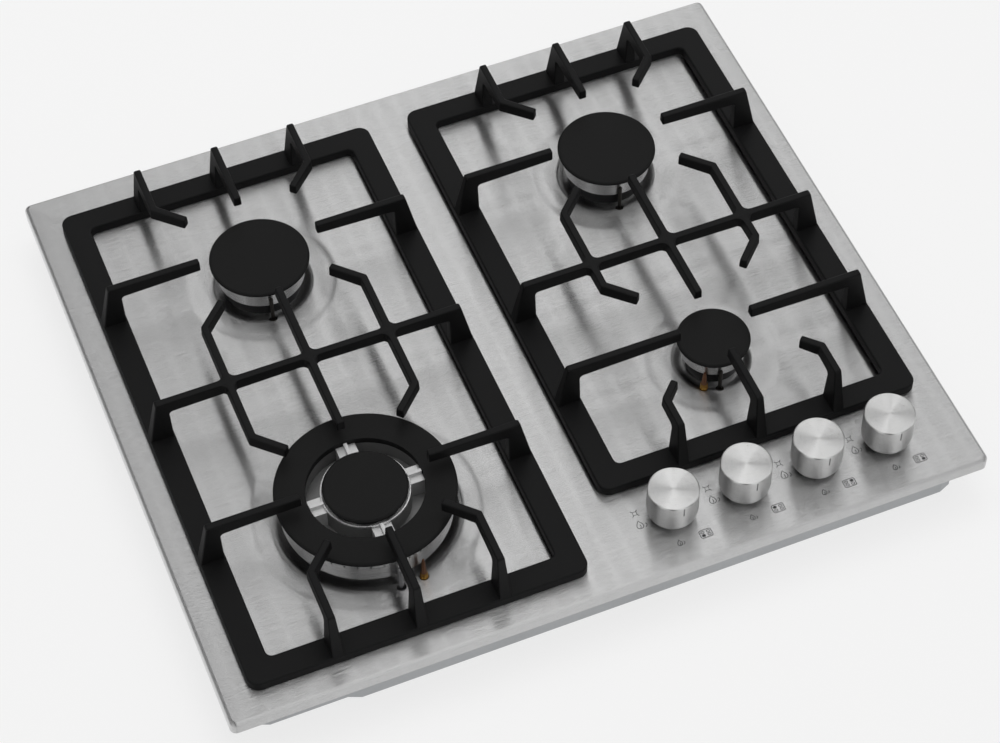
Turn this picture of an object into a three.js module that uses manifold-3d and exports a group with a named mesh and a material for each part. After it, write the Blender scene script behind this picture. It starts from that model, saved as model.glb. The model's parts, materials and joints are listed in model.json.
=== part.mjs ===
// Four-burner gas cooktop for a worktop cut-out, in millimetres, +Z up.
// The origin lies under the middle of the cooktop, on the surface that its tray stands on.
// The pieces are placed from the middle of the plate's top surface: x right, y to the rear, z up.
import * as THREE from "three";
import { mergeVertices } from "three/addons/utils/BufferGeometryUtils.js";
import Module from "manifold-3d";

const wasm = await Module();
wasm.setup();

// ---------------------------------------------------------------- driving dimensions

const gap = 0.3; // between pieces that touch on the real object
const over = 1; // how far a cutter runs past the face that it opens

const plateWidth = 590;
const plateDepth = 510;
const plateSheet = 1;
const plateCorner = 5;
const rimDrop = 10.8; // from the top surface down to the worktop
const rimRoll = 2; // radius of the rolled top edge
const rimLip = 9; // width of the lip that is folded inwards under the rim

const trayDrop = 43; // from the plate's top surface to the underside of the tray
const trayInset = { side: 17, front: 11, rear: 27 }; // from the plate's edges
const traySheet = 1;
const trayCorner = 13;
const trayFlange = 6;
const wellInset = 69; // from the tray's left wall to its deeper part, which ends at the right wall
const wellDrop = 7;

const panRise = 17; // from the wok burner's ring cap up to where the pans stand
const supportInner = 16.5; // from the middle of the plate to a support's inner side
const supportInset = { side: 21.5, front: 18.5, rear: 32 }; // from the plate's edges
const knobRoom = 75.5; // from the plate's front edge to the right-hand support
const frameBar = 19.5;
const frameTop = 10;
const frameThick = 7.7;
const frameCorner = 9;
const fingerTopWidth = 5.6;
const fingerDraft = 0.05; // widening of each flank per millimetre down
const fingerDepth = 11;
const tipDepth = 9;
const fingerPitch = 63;

const knobRadius = 19;
const knobTop = 33;
const knobLift = 5.6; // from the plate up to a knob's lower edge
const knobTravel = 4; // how far a knob can be pushed
const knobPitch = 57.8;
const knobAside = 0.1; // from the right-hand burners' line to the middle of the row of knobs
const knobInset = 44.9; // from the plate's front edge
const spindleRadius = 3;

const railRadius = 6;
const railBehind = 26.1; // from the knobs' line back to the rail
const railClear = 6.7; // between the rail and the tray's floor
const railInset = 28; // from the tray's right wall to where the rail runs to the rear
const railBend = 24;
const pipeRadius = 3;
const pipeBend = 16;
const pipeClear = 2.5; // between the rail and the feed pipes that pass over it

const burnerEnd = 113.5; // from a support's end to the burner beside it, along y
const simmerEnd = 87.5; // the same at the small burner

// The sizes of each kind of burner. A crown's band stands over the cup, and the rest is measured
// from it: dishFlat, electrodeOff and probeOff go outwards from the band, capOver is how far the cap
// reaches past it, and the heights of cup, band and cap stand on each other from the plate's top.
const rapid = burnerSizes({
  sides: 18, band: 34, bandHeight: 12.7, cupInset: 4, cupTop: 11.7, neckInset: 6, throat: 15,
  venturi: 12.5, capOver: 4.6, capThick: 5.9, dishFlat: 13.4, dishSlope: 11.6, dishDrop: 4.2,
  electrodeAt: 62, electrodeOff: 3.9, probeAt: -96, probeOff: 2.6, probeRadius: 1.5,
});
const simmer = burnerSizes({
  sides: 16, band: 24.3, bandHeight: 9.8, cupInset: 3.8, cupTop: 11.2, neckInset: 4.5, throat: 12,
  venturi: 9, capOver: 3.7, capThick: 5.3, dishFlat: 14.9, dishSlope: 10.7, dishDrop: 4.2,
  electrodeAt: -127, electrodeOff: 3.7, probeAt: -102, probeOff: 2.9, probeRadius: 1.5,
});
const wok = burnerSizes({
  sides: 24, band: 63.5, bandHeight: 17.3, cupInset: 7.5, cupTop: 7.2, neckInset: 10, throat: 20,
  venturi: 13, capOver: 3.2, capThick: 6.2, dishFlat: 13, dishSlope: 7.5, dishDrop: 4.4,
  electrodeAt: -75, electrodeOff: 6.3, probeAt: -90, probeOff: 6.1, probeRadius: 2,
});
const inner = { band: 33, rise: 2.7, capInset: 1.7, capThick: 5.5 }; // the middle of the wok burner

function burnerSizes(own) {
  const bandTop = own.cupTop + own.bandHeight;
  const dishStep = own.band + own.dishFlat;
  const cup = own.band - own.cupInset;
  return {
    ...own, bandTop, dishStep, dish: dishStep + own.dishSlope, cup, neck: cup - own.neckInset,
    cap: own.band + own.capOver, capTop: bandTop + gap + own.capThick,
    electrodeOut: own.band + own.electrodeOff, probeOut: own.band + own.probeOff,
  };
}

// The places that follow from the driving dimensions.
const trayWidth = plateWidth - 2 * trayInset.side;
const trayFront = trayInset.front - plateDepth / 2;
const trayRear = plateDepth / 2 - trayInset.rear;
const wellStart = wellInset - trayWidth / 2;
const supportOuter = plateWidth / 2 - supportInset.side;
const supportRear = plateDepth / 2 - supportInset.rear;
const supportFrontLeft = supportInset.front - plateDepth / 2;
const supportFrontRight = knobRoom - plateDepth / 2;
const supportTop = wok.capTop + panRise;
const burnerX = (supportInner + supportOuter) / 2;
const crossbarY = (supportRear + supportFrontLeft) / 2;
const knobY = knobInset - plateDepth / 2;
const fourInRow = [-1.5, -0.5, 0.5, 1.5]; // steps from the middle of a row of four
const knobPlaces = fourInRow.map((i) => burnerX + knobAside + i * knobPitch);
const railX = trayWidth / 2 - railInset;
const railY = knobY + railBehind;
const trayFloor = traySheet + gap - trayDrop; // where pieces stand in the tray's well
const railZ = trayFloor + railClear + railRadius;
const pipeHighZ = railZ + railRadius + pipeClear + pipeRadius;

const [rearY, wokY] = [supportRear - burnerEnd, supportFrontLeft + burnerEnd];
const simmerY = supportFrontRight + simmerEnd;
const rearLeft = { name: "rear_left", size: rapid, x: -burnerX, y: rearY, reach: 47 };
const rearRight = { name: "rear_right", size: rapid, x: burnerX, y: rearY, reach: 47 };
const frontLeft = { name: "front_left", size: wok, x: -burnerX, y: wokY, reach: 48.5 };
const frontRight = { name: "front_right", size: simmer, x: burnerX, y: simmerY, reach: 28.6 };
const burners = [rearLeft, rearRight, frontLeft, frontRight];

const bendOut = 62.5; // where a corner finger bends, along y from its burner
const diagonalTip = 42.7; // a corner finger's tip, along x and y from its burner
const shortBendOut = 52; // the same bend at the front of the right-hand support
const shortTip = 12; // how far the tips there lie inwards of the bend

// How many sides each kind of round piece has. A burner's own count is in its table above.
const innerSides = 16;
const knobSides = 16;
const plugSides = 12; // enough to turn freely in a bore with the same number
const pipeSides = 8;
const thinSides = 6;
const bendSteps = 2;

// ---------------------------------------------------------------- finishes

const finish = (color, roughness, metalness) =>
  new THREE.MeshStandardMaterial({ color, roughness, metalness });
const steel = finish(0xb9b9b9, 0.35, 1);
const zincSteel = finish(0xa9abad, 0.5, 1);
const castIron = finish(0x222222, 0.75, 0.1);
const enamel = finish(0x232323, 0.6, 0);
const darkCup = finish(0x1b1b1c, 0.6, 0.4);
const aluminium = finish(0xc9c9c9, 0.4, 1);
const rubber = finish(0x151515, 0.9, 0);
const spunMetal = finish(0xcfcfcd, 0.35, 1);
const brass = finish(0xb58a45, 0.4, 1);
const copper = finish(0xa8673f, 0.45, 0.9);
const plainSteel = finish(0x8f9193, 0.45, 1);
const moulding = finish(0x2b2c2e, 0.6, 0);

// ---------------------------------------------------------------- helpers

// A closed geometry as a solid that can be joined and cut.
function solid(piece) {
  if (!piece.isBufferGeometry) return piece;
  const bare = piece.clone();
  for (const name of Object.keys(bare.attributes)) {
    if (name !== "position") bare.deleteAttribute(name);
  }
  const merged = mergeVertices(bare, 1e-4);
  const index = merged.index.array;
  const kept = [];
  for (let i = 0; i < index.length; i += 3) {
    const [a, b, c] = [index[i], index[i + 1], index[i + 2]];
    if (a !== b && b !== c && c !== a) kept.push(a, b, c);
  }
  return new wasm.Manifold(
    new wasm.Mesh({
      numProp: 3,
      vertProperties: merged.attributes.position.array,
      triVerts: new Uint32Array(kept),
    }),
  );
}

const join = (first, ...rest) => rest.reduce((sum, piece) => sum.add(solid(piece)), solid(first));
const cut = (body, ...tools) => tools.reduce((left, tool) => left.subtract(solid(tool)), solid(body));

function geometryOf(piece) {
  const { vertProperties, triVerts } = solid(piece).getMesh();
  const indexed = new THREE.BufferGeometry();
  indexed.setAttribute("position", new THREE.BufferAttribute(vertProperties, 3));
  indexed.setIndex(new THREE.BufferAttribute(triVerts, 1));
  const geometry = indexed.toNonIndexed();
  geometry.computeVertexNormals();
  return geometry;
}

// A profile of [radius, z] points turned about the z axis.
function revolve(profile, sides) {
  const points = profile.map(([r, z]) => new THREE.Vector2(r, z));
  const last = points[points.length - 1];
  if (points[0].x > 0 || last.x > 0) points.push(points[0].clone());
  if (THREE.ShapeUtils.area(points) < 0) points.reverse();
  return new THREE.LatheGeometry(points, sides).rotateX(Math.PI / 2);
}

const disc = (radius, low, high, sides) =>
  revolve([[0, low], [radius, low], [radius, high], [0, high]], sides);

const block = (x0, x1, y0, y1, z0, z1) =>
  new THREE.BoxGeometry(x1 - x0, y1 - y0, z1 - z0)
    .translate((x0 + x1) / 2, (y0 + y1) / 2, (z0 + z1) / 2);

const sharpest = 0.8; // the least radius of a corner

// The outline of a rectangle with round corners, as points at height z.
function roundedRing(box, inset, z, corner, steps = 3) {
  const [x0, x1, y0, y1] = [box.x0 + inset, box.x1 - inset, box.y0 + inset, box.y1 - inset];
  const radius = Math.max(corner - inset, sharpest);
  const centres = [
    [x1 - radius, y1 - radius], [x0 + radius, y1 - radius],
    [x0 + radius, y0 + radius], [x1 - radius, y0 + radius],
  ];
  return centres.flatMap(([x, y], quarter) =>
    Array.from({ length: steps + 1 }, (_, i) => {
      const angle = (Math.PI / 2) * (quarter + i / steps);
      return new THREE.Vector3(x + radius * Math.cos(angle), y + radius * Math.sin(angle), z);
    }),
  );
}

// A skin through rings of equal length, from the lowest up, closed by a flat face at each end.
function loft(rings) {
  const count = rings[0].length;
  const vertices = rings.flat();
  const middle = (ring) =>
    ring.reduce((sum, point) => sum.add(point), new THREE.Vector3()).divideScalar(count);
  const low = vertices.push(middle(rings[0])) - 1;
  const high = vertices.push(middle(rings[rings.length - 1])) - 1;
  const top = (rings.length - 1) * count;
  const index = [];
  for (let i = 0; i < count; i++) {
    const next = (i + 1) % count;
    for (let row = 0; row < top; row += count) {
      index.push(row + i, row + next, row + count + next);
      index.push(row + i, row + count + next, row + count + i);
    }
    index.push(low, next, i);
    index.push(high, top + i, top + next);
  }
  const geometry = new THREE.BufferGeometry().setFromPoints(vertices);
  geometry.setIndex(index);
  return geometry.toNonIndexed();
}

// A route through given points that puts one section of an extrusion at each of them.
class Route extends THREE.Curve {
  constructor(points) {
    super();
    this.points = points;
  }

  getPoint(t, target = new THREE.Vector3()) {
    const place = t * (this.points.length - 1);
    const i = Math.min(Math.floor(place), this.points.length - 2);
    return target.lerpVectors(this.points[i], this.points[i + 1], place - i);
  }

  getPointAt(t, target) {
    return this.getPoint(t, target);
  }

  getTangentAt(t, target) {
    return this.getTangent(t, target);
  }
}

// A rod along a route with rounded corners.
function rod(route, bend, radius, sides) {
  const corners = route.map((p) => new THREE.Vector3(...p));
  const points = [corners[0]];
  for (let i = 1; i < corners.length - 1; i++) {
    const corner = corners[i];
    const before = corners[i - 1].clone().sub(corner);
    const after = corners[i + 1].clone().sub(corner);
    const start = before.setLength(Math.min(bend, before.length() / 2)).add(corner);
    const end = after.setLength(Math.min(bend, after.length() / 2)).add(corner);
    points.push(...new THREE.QuadraticBezierCurve3(start, corner, end).getPoints(bendSteps));
  }
  points.push(corners[corners.length - 1]);
  const section = new THREE.Shape();
  section.absarc(0, 0, radius, 0, 2 * Math.PI, false);
  return new THREE.ExtrudeGeometry(section, {
    steps: points.length - 1, curveSegments: sides / 2, bevelEnabled: false,
    extrudePath: new Route(points),
  });
}

const root = new THREE.Group();
const hob = new THREE.Group();
hob.position.z = trayDrop;
root.add(hob);

function add(name, piece, material, x = 0, y = 0, z = 0) {
  const mesh = new THREE.Mesh(geometryOf(piece), material);
  mesh.name = name;
  mesh.position.set(x, y, z);
  hob.add(mesh);
}

const around = (burner, degrees, out) => [
  burner.x + out * Math.cos((degrees * Math.PI) / 180),
  burner.y + out * Math.sin((degrees * Math.PI) / 180),
];

// ---------------------------------------------------------------- top plate

const electrodeHole = 3.6;
const knobHole = spindleRadius + 3; // wide enough for a spindle that leans a little
const drillLow = -20;
const drillHigh = 5;
const rollSteps = 2;

// The hollow pressed into the plate for one burner: a shallow cone down to a flat floor. Lowered by
// the sheet, it is the underside.
function dishShape({ size, x, y }, top, lowered) {
  const spread = ((size.dish - size.dishStep) * (top + lowered)) / size.dishDrop;
  const floor = -size.dishDrop - lowered;
  const profile = [[0, top], [size.dish + spread, top], [size.dishStep, floor], [0, floor]];
  return revolve(profile, size.sides).translate(x, y, 0);
}

const drill = (radius, x, y, sides) => disc(radius, drillLow, drillHigh, sides).translate(x, y, 0);

function topPlate() {
  const outline = { x0: -plateWidth / 2, x1: plateWidth / 2, y0: -plateDepth / 2, y1: plateDepth / 2 };
  const ring = (inset, z) => roundedRing(outline, inset, z, plateCorner);
  const rolled = Array.from({ length: rollSteps + 1 }, (_, i) => {
    const angle = ((i / rollSteps) * Math.PI) / 2;
    return ring(rimRoll * (1 - Math.cos(angle)), -rimRoll * (1 - Math.sin(angle)));
  });
  const skin = loft([ring(0, -rimDrop), ...rolled]);
  const hollow = loft([ring(plateSheet, plateSheet - rimDrop), ring(plateSheet, -plateSheet)]);
  const mouth = loft([ring(rimLip, -rimDrop - over), ring(rimLip, -plateSheet - over)]);
  let plate = cut(skin, hollow, mouth);
  for (const burner of burners) {
    const { size, x, y } = burner;
    plate = join(plate, dishShape(burner, -plateSheet / 2, plateSheet));
    const electrode = around(burner, size.electrodeAt, size.electrodeOut);
    const probe = around(burner, size.probeAt, size.probeOut);
    plate = cut(
      plate, dishShape(burner, over, 0), drill(size.neck + gap, x, y, size.sides),
      drill(electrodeHole, ...electrode, thinSides), drill(electrodeHole, ...probe, thinSides),
    );
  }
  return cut(plate, ...knobPlaces.map((x) => drill(knobHole, x, knobY, pipeSides)));
}
add("top_plate", topPlate(), steel);

// ---------------------------------------------------------------- tray under the plate

const glandX = 40;
const glandZ = (trayFloor - plateSheet) / 2;
const glandRadius = 6;
const nippleBore = railRadius + 0.5;
const nippleWall = 3.9;
const nippleRadius = nippleBore + nippleWall;
const trayRoll = 2;
const trayCornerSteps = 2;
const wellOverlap = 6; // how far the well's solid reaches up into the shallow part

// A cutter through the tray's rear wall.
const rearHole = (radius, sides, x, z) =>
  disc(radius, -traySheet - over, over, sides).rotateX(-Math.PI / 2).translate(x, trayRear, z);

function underTray() {
  const whole = { x0: -trayWidth / 2, x1: trayWidth / 2, y0: trayFront, y1: trayRear };
  const well = { ...whole, x0: wellStart };
  const ring = (box, inset, z) => roundedRing(box, inset, z, trayCorner, trayCornerSteps);
  const flangeTop = -plateSheet - gap;
  const shallow = wellDrop - trayDrop;
  const bowl = (box, floor, inset, high) =>
    loft([
      ring(box, inset + trayRoll, floor + inset), ring(box, inset, floor + inset + trayRoll),
      ring(box, inset, high),
    ]);
  const flange = loft([
    ring(whole, -trayFlange, flangeTop - traySheet), ring(whole, -trayFlange, flangeTop),
  ]);
  const outside = join(
    bowl(whole, shallow, 0, flangeTop - traySheet / 2),
    bowl(well, -trayDrop, 0, shallow + wellOverlap), flange,
  );
  const inside = join(
    bowl(whole, shallow, traySheet, over),
    bowl(well, -trayDrop, traySheet, shallow + wellOverlap + over),
  );
  return cut(
    outside, inside, rearHole(glandRadius + gap, thinSides, glandX, glandZ),
    rearHole(nippleRadius + gap, pipeSides, railX, railZ),
  );
}
add("under_tray", underTray(), zincSteel);

// ---------------------------------------------------------------- pan supports

const frameBase = frameTop - frameThick;
const footRadius = 5;
const footStem = 2.2;
const footSeat = 2; // a foot's stem ends this far below the frame's top
const frameBevel = 0.8;
const filletSteps = 2; // in the large fillet under a finger. The small one at its foot has one
const rooted = 2; // how far above the frame's underside the posts end
const postFoot = 1.4; // from a frame's outer side to the foot of a post
const postLean = 8.5; // a post's outer face leans in by this much
const fingerBevel = 1.2;
const postTop = 14; // a post's width under its finger
const underFillet = 7;
const footFillet = 4;
const frameDraft = 0.4;

const halfWidthAt = (z) => fingerTopWidth / 2 + (supportTop - z) * fingerDraft;

// A side outline of [along, z] points as a slab whose flanks widen downwards, set on the plan.
function slab(outline, x, y, degrees) {
  const shape = new THREE.Shape(outline.map(([s, z]) => new THREE.Vector2(s, z)));
  const geometry = new THREE.ExtrudeGeometry(shape, { depth: 1, bevelEnabled: false });
  const place = geometry.getAttribute("position");
  for (let i = 0; i < place.count; i++) {
    const z = place.getY(i);
    place.setXYZ(i, place.getX(i), (0.5 - place.getZ(i)) * 2 * halfWidthAt(z), z);
  }
  return geometry.rotateZ((degrees * Math.PI) / 180).translate(x, y, 0);
}

const arc = (cx, cz, radius, from, to, steps) =>
  Array.from({ length: steps + 1 }, (_, i) => {
    const angle = ((from + ((to - from) * i) / steps) * Math.PI) / 180;
    return [cx + radius * Math.cos(angle), cz + radius * Math.sin(angle)];
  });

// The side outline of a finger and its post, from the frame's outer side inwards.
function fingerOutline(length) {
  const under = supportTop - fingerDepth;
  const inner = frameBar - 2 * frameDraft;
  return [
    [postFoot, frameBase + rooted], [postFoot, frameTop], [postLean, supportTop - fingerBevel],
    [postLean + fingerBevel, supportTop], [length, supportTop], [length, supportTop - tipDepth],
    ...arc(postTop + underFillet, under - underFillet, underFillet, 90, 180, filletSteps),
    [inner - footFillet, frameTop + footFillet], [inner, frameTop],
    [inner, frameBase + rooted],
  ];
}

// A straight bar between two points of the plan.
function bar(from, to) {
  const [dx, dy] = [to[0] - from[0], to[1] - from[1]];
  const length = Math.hypot(dx, dy);
  const outline = [
    [0, supportTop - fingerDepth], [length, supportTop - tipDepth], [length, supportTop],
    [0, supportTop],
  ];
  return slab(outline, ...from, (Math.atan2(dy, dx) * 180) / Math.PI);
}

// The round outside of a bend.
function knuckle(x, y) {
  const low = supportTop - fingerDepth;
  const profile = [
    [0, low], [halfWidthAt(low), low], [halfWidthAt(supportTop), supportTop], [0, supportTop],
  ];
  return revolve(profile, pipeSides).translate(x, y, 0);
}

const frameBox = (side, front) => ({
  x0: side * burnerX - (supportOuter - supportInner) / 2,
  x1: side * burnerX + (supportOuter - supportInner) / 2,
  y0: front,
  y1: supportRear,
});

const footPlaces = ({ x0, x1, y0, y1 }) => {
  const inset = frameBar / 2;
  return [x0 + inset, x1 - inset].flatMap((x) => [y0 + inset, y1 - inset].map((y) => [x, y]));
};

// One support. side is -1 on the left and 1 on the right. Its front corner fingers bend at
// cornerBend in front of the burner, and their tips lie cornerTip further in.
function panSupport(side, front, rear, near, cornerBend, cornerTip) {
  const middle = side * burnerX;
  const box = frameBox(side, front);
  const ring = (inset, z) => roundedRing(box, inset, z, frameCorner);
  const frame = cut(
    loft([
      ring(0, frameBase), ring(frameDraft, frameTop - frameBevel),
      ring(frameDraft + frameBevel, frameTop),
    ]),
    loft([ring(frameBar, frameBase - over), ring(frameBar - 2 * frameDraft, frameTop + over)]),
  );
  const pieces = [];
  const acrossReach = -0.5; // the two crossbar fingers pass each other in the middle
  for (const [y, reach] of [[rear.y, rear.reach], [crossbarY, acrossReach], [near.y, near.reach]]) {
    const outline = fingerOutline(burnerX - supportInner - reach);
    pieces.push(slab(outline, box.x0, y, 0), slab(outline, box.x1, y, 180));
  }
  pieces.push(
    slab(fingerOutline(supportRear - rear.y - rear.reach), middle, supportRear, -90),
    slab(fingerOutline(near.y - near.reach - front), middle, front, 90),
    bar([middle, crossbarY], [middle, rear.y - rear.reach]),
    bar([middle, crossbarY], [middle, near.y + near.reach]),
  );
  for (const hand of [-1, 1]) {
    const line = middle + hand * fingerPitch;
    const tip = middle + hand * diagonalTip;
    const rearBend = rear.y + bendOut;
    const frontBend = near.y - cornerBend;
    const innerRear = rear.y - bendOut;
    const innerNear = near.y + bendOut;
    pieces.push(
      slab(fingerOutline(supportRear - rearBend), line, supportRear, -90), knuckle(line, rearBend),
      bar([line, rearBend], [tip, rear.y + diagonalTip]),
      bar([line, crossbarY], [line, innerRear]), knuckle(line, innerRear),
      bar([line, innerRear], [tip, rear.y - diagonalTip]),
      bar([line, crossbarY], [line, innerNear]), knuckle(line, innerNear),
      bar([line, innerNear], [tip, near.y + diagonalTip]),
      slab(fingerOutline(frontBend - front), line, front, 90), knuckle(line, frontBend),
      bar([line, frontBend], [line - hand * cornerTip, frontBend + cornerTip]),
    );
  }
  const holes = footPlaces(box).map(([x, y]) =>
    disc(footStem + gap, 0, frameTop - footSeat, thinSides).translate(x, y, 0),
  );
  return cut(join(frame, ...pieces), ...holes);
}

const fullTip = bendOut - diagonalTip;
const leftSupport = panSupport(-1, supportFrontLeft, rearLeft, frontLeft, bendOut, fullTip);
const rightSupport = panSupport(1, supportFrontRight, rearRight, frontRight, shortBendOut, shortTip);
add("left_pan_support", leftSupport, castIron);
add("right_pan_support", rightSupport, castIron);

const foot = revolve(
  [
    [0, gap], [footRadius, gap], [footRadius, frameBase - gap], [footStem, frameBase - gap],
    [footStem, frameTop - footSeat - gap], [0, frameTop - footSeat - gap],
  ],
  thinSides,
);
for (const [name, side, front] of [["left", -1, supportFrontLeft], ["right", 1, supportFrontRight]]) {
  footPlaces(frameBox(side, front)).forEach(([x, y], i) => {
    add(`${name}_support_foot_${i + 1}`, foot, rubber, x, y);
  });
}

// ---------------------------------------------------------------- burners

const cupWall = 2.5;
const cupFloor = -3;
const throatLow = trayFloor + 10.7; // a cup's lowest part, where the feed pipe arrives
const throatTop = throatLow + 11;
const neckLow = throatTop + 5; // below this a cup narrows to its throat
const pipeLowZ = throatLow + 5;
const crownWall = 3;
const crownFloor = 3;
const crownBase = 1; // the least thickness of the floor, beside the mixing tube
const crownFlare = 0.5;
const crownFoot = 2; // how far a crown drops inside its cup
const innerWall = 4; // the wall of the wok crown's middle
const tubeWall = 2;
const tubeLow = -2; // the lower end of a crown's mixing tube
const capEdge = 1.2;
const capLip = 1.4; // from a cap's underside up to its edge
const capSeat = 2.5; // depth and thickness of the ring that drops inside the crown
const capHollow = 0.5;

// The cup stands on the dish and its neck hangs through the plate.
function burnerCup({ size }) {
  const seat = -size.dishDrop + gap;
  const profile = [
    [0, throatLow], [size.throat, throatLow], [size.throat, throatTop], [size.neck, neckLow],
    [size.neck, seat], [size.cup, seat], [size.cup, size.cupTop], [size.cup - cupWall, size.cupTop],
    [size.cup - cupWall, cupFloor], [0, cupFloor],
  ];
  return revolve(profile, size.sides);
}

// A crown with its mixing tube. Its foot drops inside the cup's wall.
function burnerCrown({ size }) {
  const low = size.cupTop + gap;
  const lip = size.cup - cupWall - gap;
  const profile = [
    [size.band, low], [size.band + crownFlare, size.bandTop],
    [size.band - crownWall, size.bandTop], [size.band - crownWall, low + crownFloor],
    [size.venturi - tubeWall, low + crownBase], [size.venturi - tubeWall, tubeLow],
    [size.venturi, tubeLow], [size.venturi, low - crownFoot], [lip, low - crownFoot], [lip, low],
  ];
  return revolve(profile, size.sides);
}

// A cap: a disc with a rounded edge and a ring below that drops inside the crown.
function burnerCap(radius, under, top, ring, sides) {
  const inner = ring - capSeat;
  const profile = [
    [0, top], [radius - capEdge, top], [radius, top - capEdge], [radius, under + capLip],
    [ring, under], [ring, under - capSeat], [inner, under - capSeat],
    [inner, under + capHollow], [0, under + capHollow],
  ];
  return revolve(profile, sides);
}

const bridgeWidth = 15;
const bridgeDrop = 1.5; // from the trough's rim down to a bridge
const ribWidth = 3;
const ribRise = 1.5; // from the inner rim up to the top of a rib
const troughWidth = 19;
const ringInner = wok.band - troughWidth;
const ringWall = 2.5;
const ringCapOver = 1; // how far the ring cap reaches inwards past the trough
const innerTop = wok.bandTop + inner.rise;
const outerPorts = { count: 42, size: 1.5 };
const innerPorts = { count: 24, size: 1.1, below: 2.2, bare: 15 }; // none so near a bridge, in degrees

// A cutter for a flame port through a wall, three-sided with its point down, that lies along x.
const portCutter = (from, to, z, size) =>
  new THREE.CylinderGeometry(size, size, to - from, 3, 1, false, Math.PI)
    .rotateZ(Math.PI / 2).translate((from + to) / 2, 0, z);

// Copies of a cutter round the z axis, half a step away from the x axis.
const turnedRound = (cutter, count) =>
  Array.from({ length: count }, (_, i) => cutter.clone().rotateZ((2 * Math.PI * (i + 0.5)) / count));

// The front left crown: an outer trough, an inner crown and four gas bridges between them.
function wokCrown() {
  const { band, bandTop, cup, cupTop, venturi } = wok;
  const low = cupTop + gap;
  const lip = cup - cupWall - gap;
  const outer = revolve(
    [
      [band, low], [band + crownFlare, bandTop], [band - ringWall, bandTop],
      [band - ringWall, low + crownFloor], [ringInner + ringWall, low + crownFloor],
      [ringInner + ringWall, bandTop], [ringInner, bandTop],
      [ringInner, low - crownFoot], [lip, low - crownFoot], [lip, low],
    ],
    wok.sides,
  );
  const innerFace = inner.band - innerWall;
  const middle = revolve(
    [
      [inner.band, low], [inner.band, innerTop], [innerFace, innerTop],
      [innerFace, low + innerWall], [venturi - tubeWall, low + tubeWall],
      [venturi - tubeWall, tubeLow], [venturi, tubeLow], [venturi, low],
    ],
    innerSides,
  );
  const [bridge, rib] = [bridgeWidth / 2, ribWidth / 2];
  const inside = inner.band - innerWall / 2;
  const bridges = [
    block(inside, ringInner + ringWall / 2, -bridge, bridge, low + crownBase, bandTop - bridgeDrop),
    block(inside, ringInner - ringCapOver - gap, -rib, rib, low + crownBase, innerTop + ribRise),
  ].flatMap((piece) => [0, 1, 2, 3].map((i) => piece.clone().rotateZ((i * Math.PI) / 2)));
  const notches = turnedRound(
    portCutter(band - ringWall - over, band + over, bandTop, outerPorts.size), outerPorts.count,
  );
  const portHeight = innerTop - innerPorts.below;
  const holes = turnedRound(
    portCutter(innerFace - over, inner.band + over, portHeight, innerPorts.size), innerPorts.count,
  );
  // The angle from port i to the nearest bridge, in degrees.
  const fromBridge = (i) => 45 - Math.abs((((i + 0.5) * 360) / innerPorts.count) % 90 - 45);
  const open = holes.filter((_, i) => fromBridge(i) > innerPorts.bare);
  return cut(join(outer, middle, ...bridges), ...notches, ...open);
}

// The ring cap over the outer trough.
function ringCap() {
  const { cap: outside, capTop: top, bandTop, band } = wok;
  const inside = ringInner - ringCapOver;
  const under = bandTop + gap;
  const ring = band - ringWall - gap;
  const profile = [
    [inside, top], [outside - capEdge, top], [outside, top - capEdge], [outside, under + capLip],
    [ring, under], [ring, under - capSeat], [ring - capSeat, under - capSeat],
    [ring - capSeat, under], [inside, under],
  ];
  return revolve(profile, wok.sides);
}

for (const burner of burners) {
  const { name, size, x, y } = burner;
  add(`${name}_burner_cup`, burnerCup(burner), darkCup, x, y);
  if (size === wok) {
    add(`${name}_crown`, wokCrown(), aluminium, x, y);
    add(`${name}_ring_cap`, ringCap(), enamel, x, y);
    const [under, ring] = [innerTop + gap, inner.band - innerWall - gap];
    const top = under + inner.capThick;
    const middleCap = burnerCap(inner.band - inner.capInset, under, top, ring, innerSides);
    add(`${name}_cap`, middleCap, enamel, x, y);
  } else {
    const [under, ring] = [size.bandTop + gap, size.band - crownWall - gap];
    add(`${name}_crown`, burnerCrown(burner), aluminium, x, y);
    add(`${name}_cap`, burnerCap(size.cap, under, size.capTop, ring, size.sides), enamel, x, y);
  }
}

const stem = { radius: electrodeHole - gap, low: -20, high: 0.5 };
const tip = { neck: 2.4, neckZ: 1.5, shoulder: 2.7, shoulderZ: 3, end: 0.7 };
const collarLow = -10;
const collarHigh = -2;
const sparkGap = 3; // from a spark electrode up to the cap
const probeGap = 1.5;

// A spark electrode: a ceramic stem below the plate, a brass collar and a tip that thins upwards.
function electrode(tipTop) {
  const profile = [
    [0, stem.low], [stem.radius, stem.low], [stem.radius, stem.high], [tip.neck, tip.neckZ],
    [tip.shoulder, tip.shoulderZ], [tip.end, tipTop], [0, tipTop],
  ];
  return revolve(profile, thinSides);
}

// A thermocouple rod with a collar that seats in the plate.
function probe(radius, tipTop) {
  const collar = electrodeHole - gap;
  const profile = [
    [0, collarLow], [collar, collarLow], [collar, collarHigh], [radius, collarHigh],
    [radius, tipTop], [0, tipTop],
  ];
  return revolve(profile, thinSides);
}

for (const burner of burners) {
  const { name, size } = burner;
  const under = size.bandTop + gap;
  const [ex, ey] = around(burner, size.electrodeAt, size.electrodeOut);
  const [px, py] = around(burner, size.probeAt, size.probeOut);
  add(`${name}_spark_electrode`, electrode(under - sparkGap), copper, ex, ey);
  add(`${name}_thermocouple`, probe(size.probeRadius, under - probeGap), plainSteel, px, py);
}

// ---------------------------------------------------------------- knobs and valves

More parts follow.
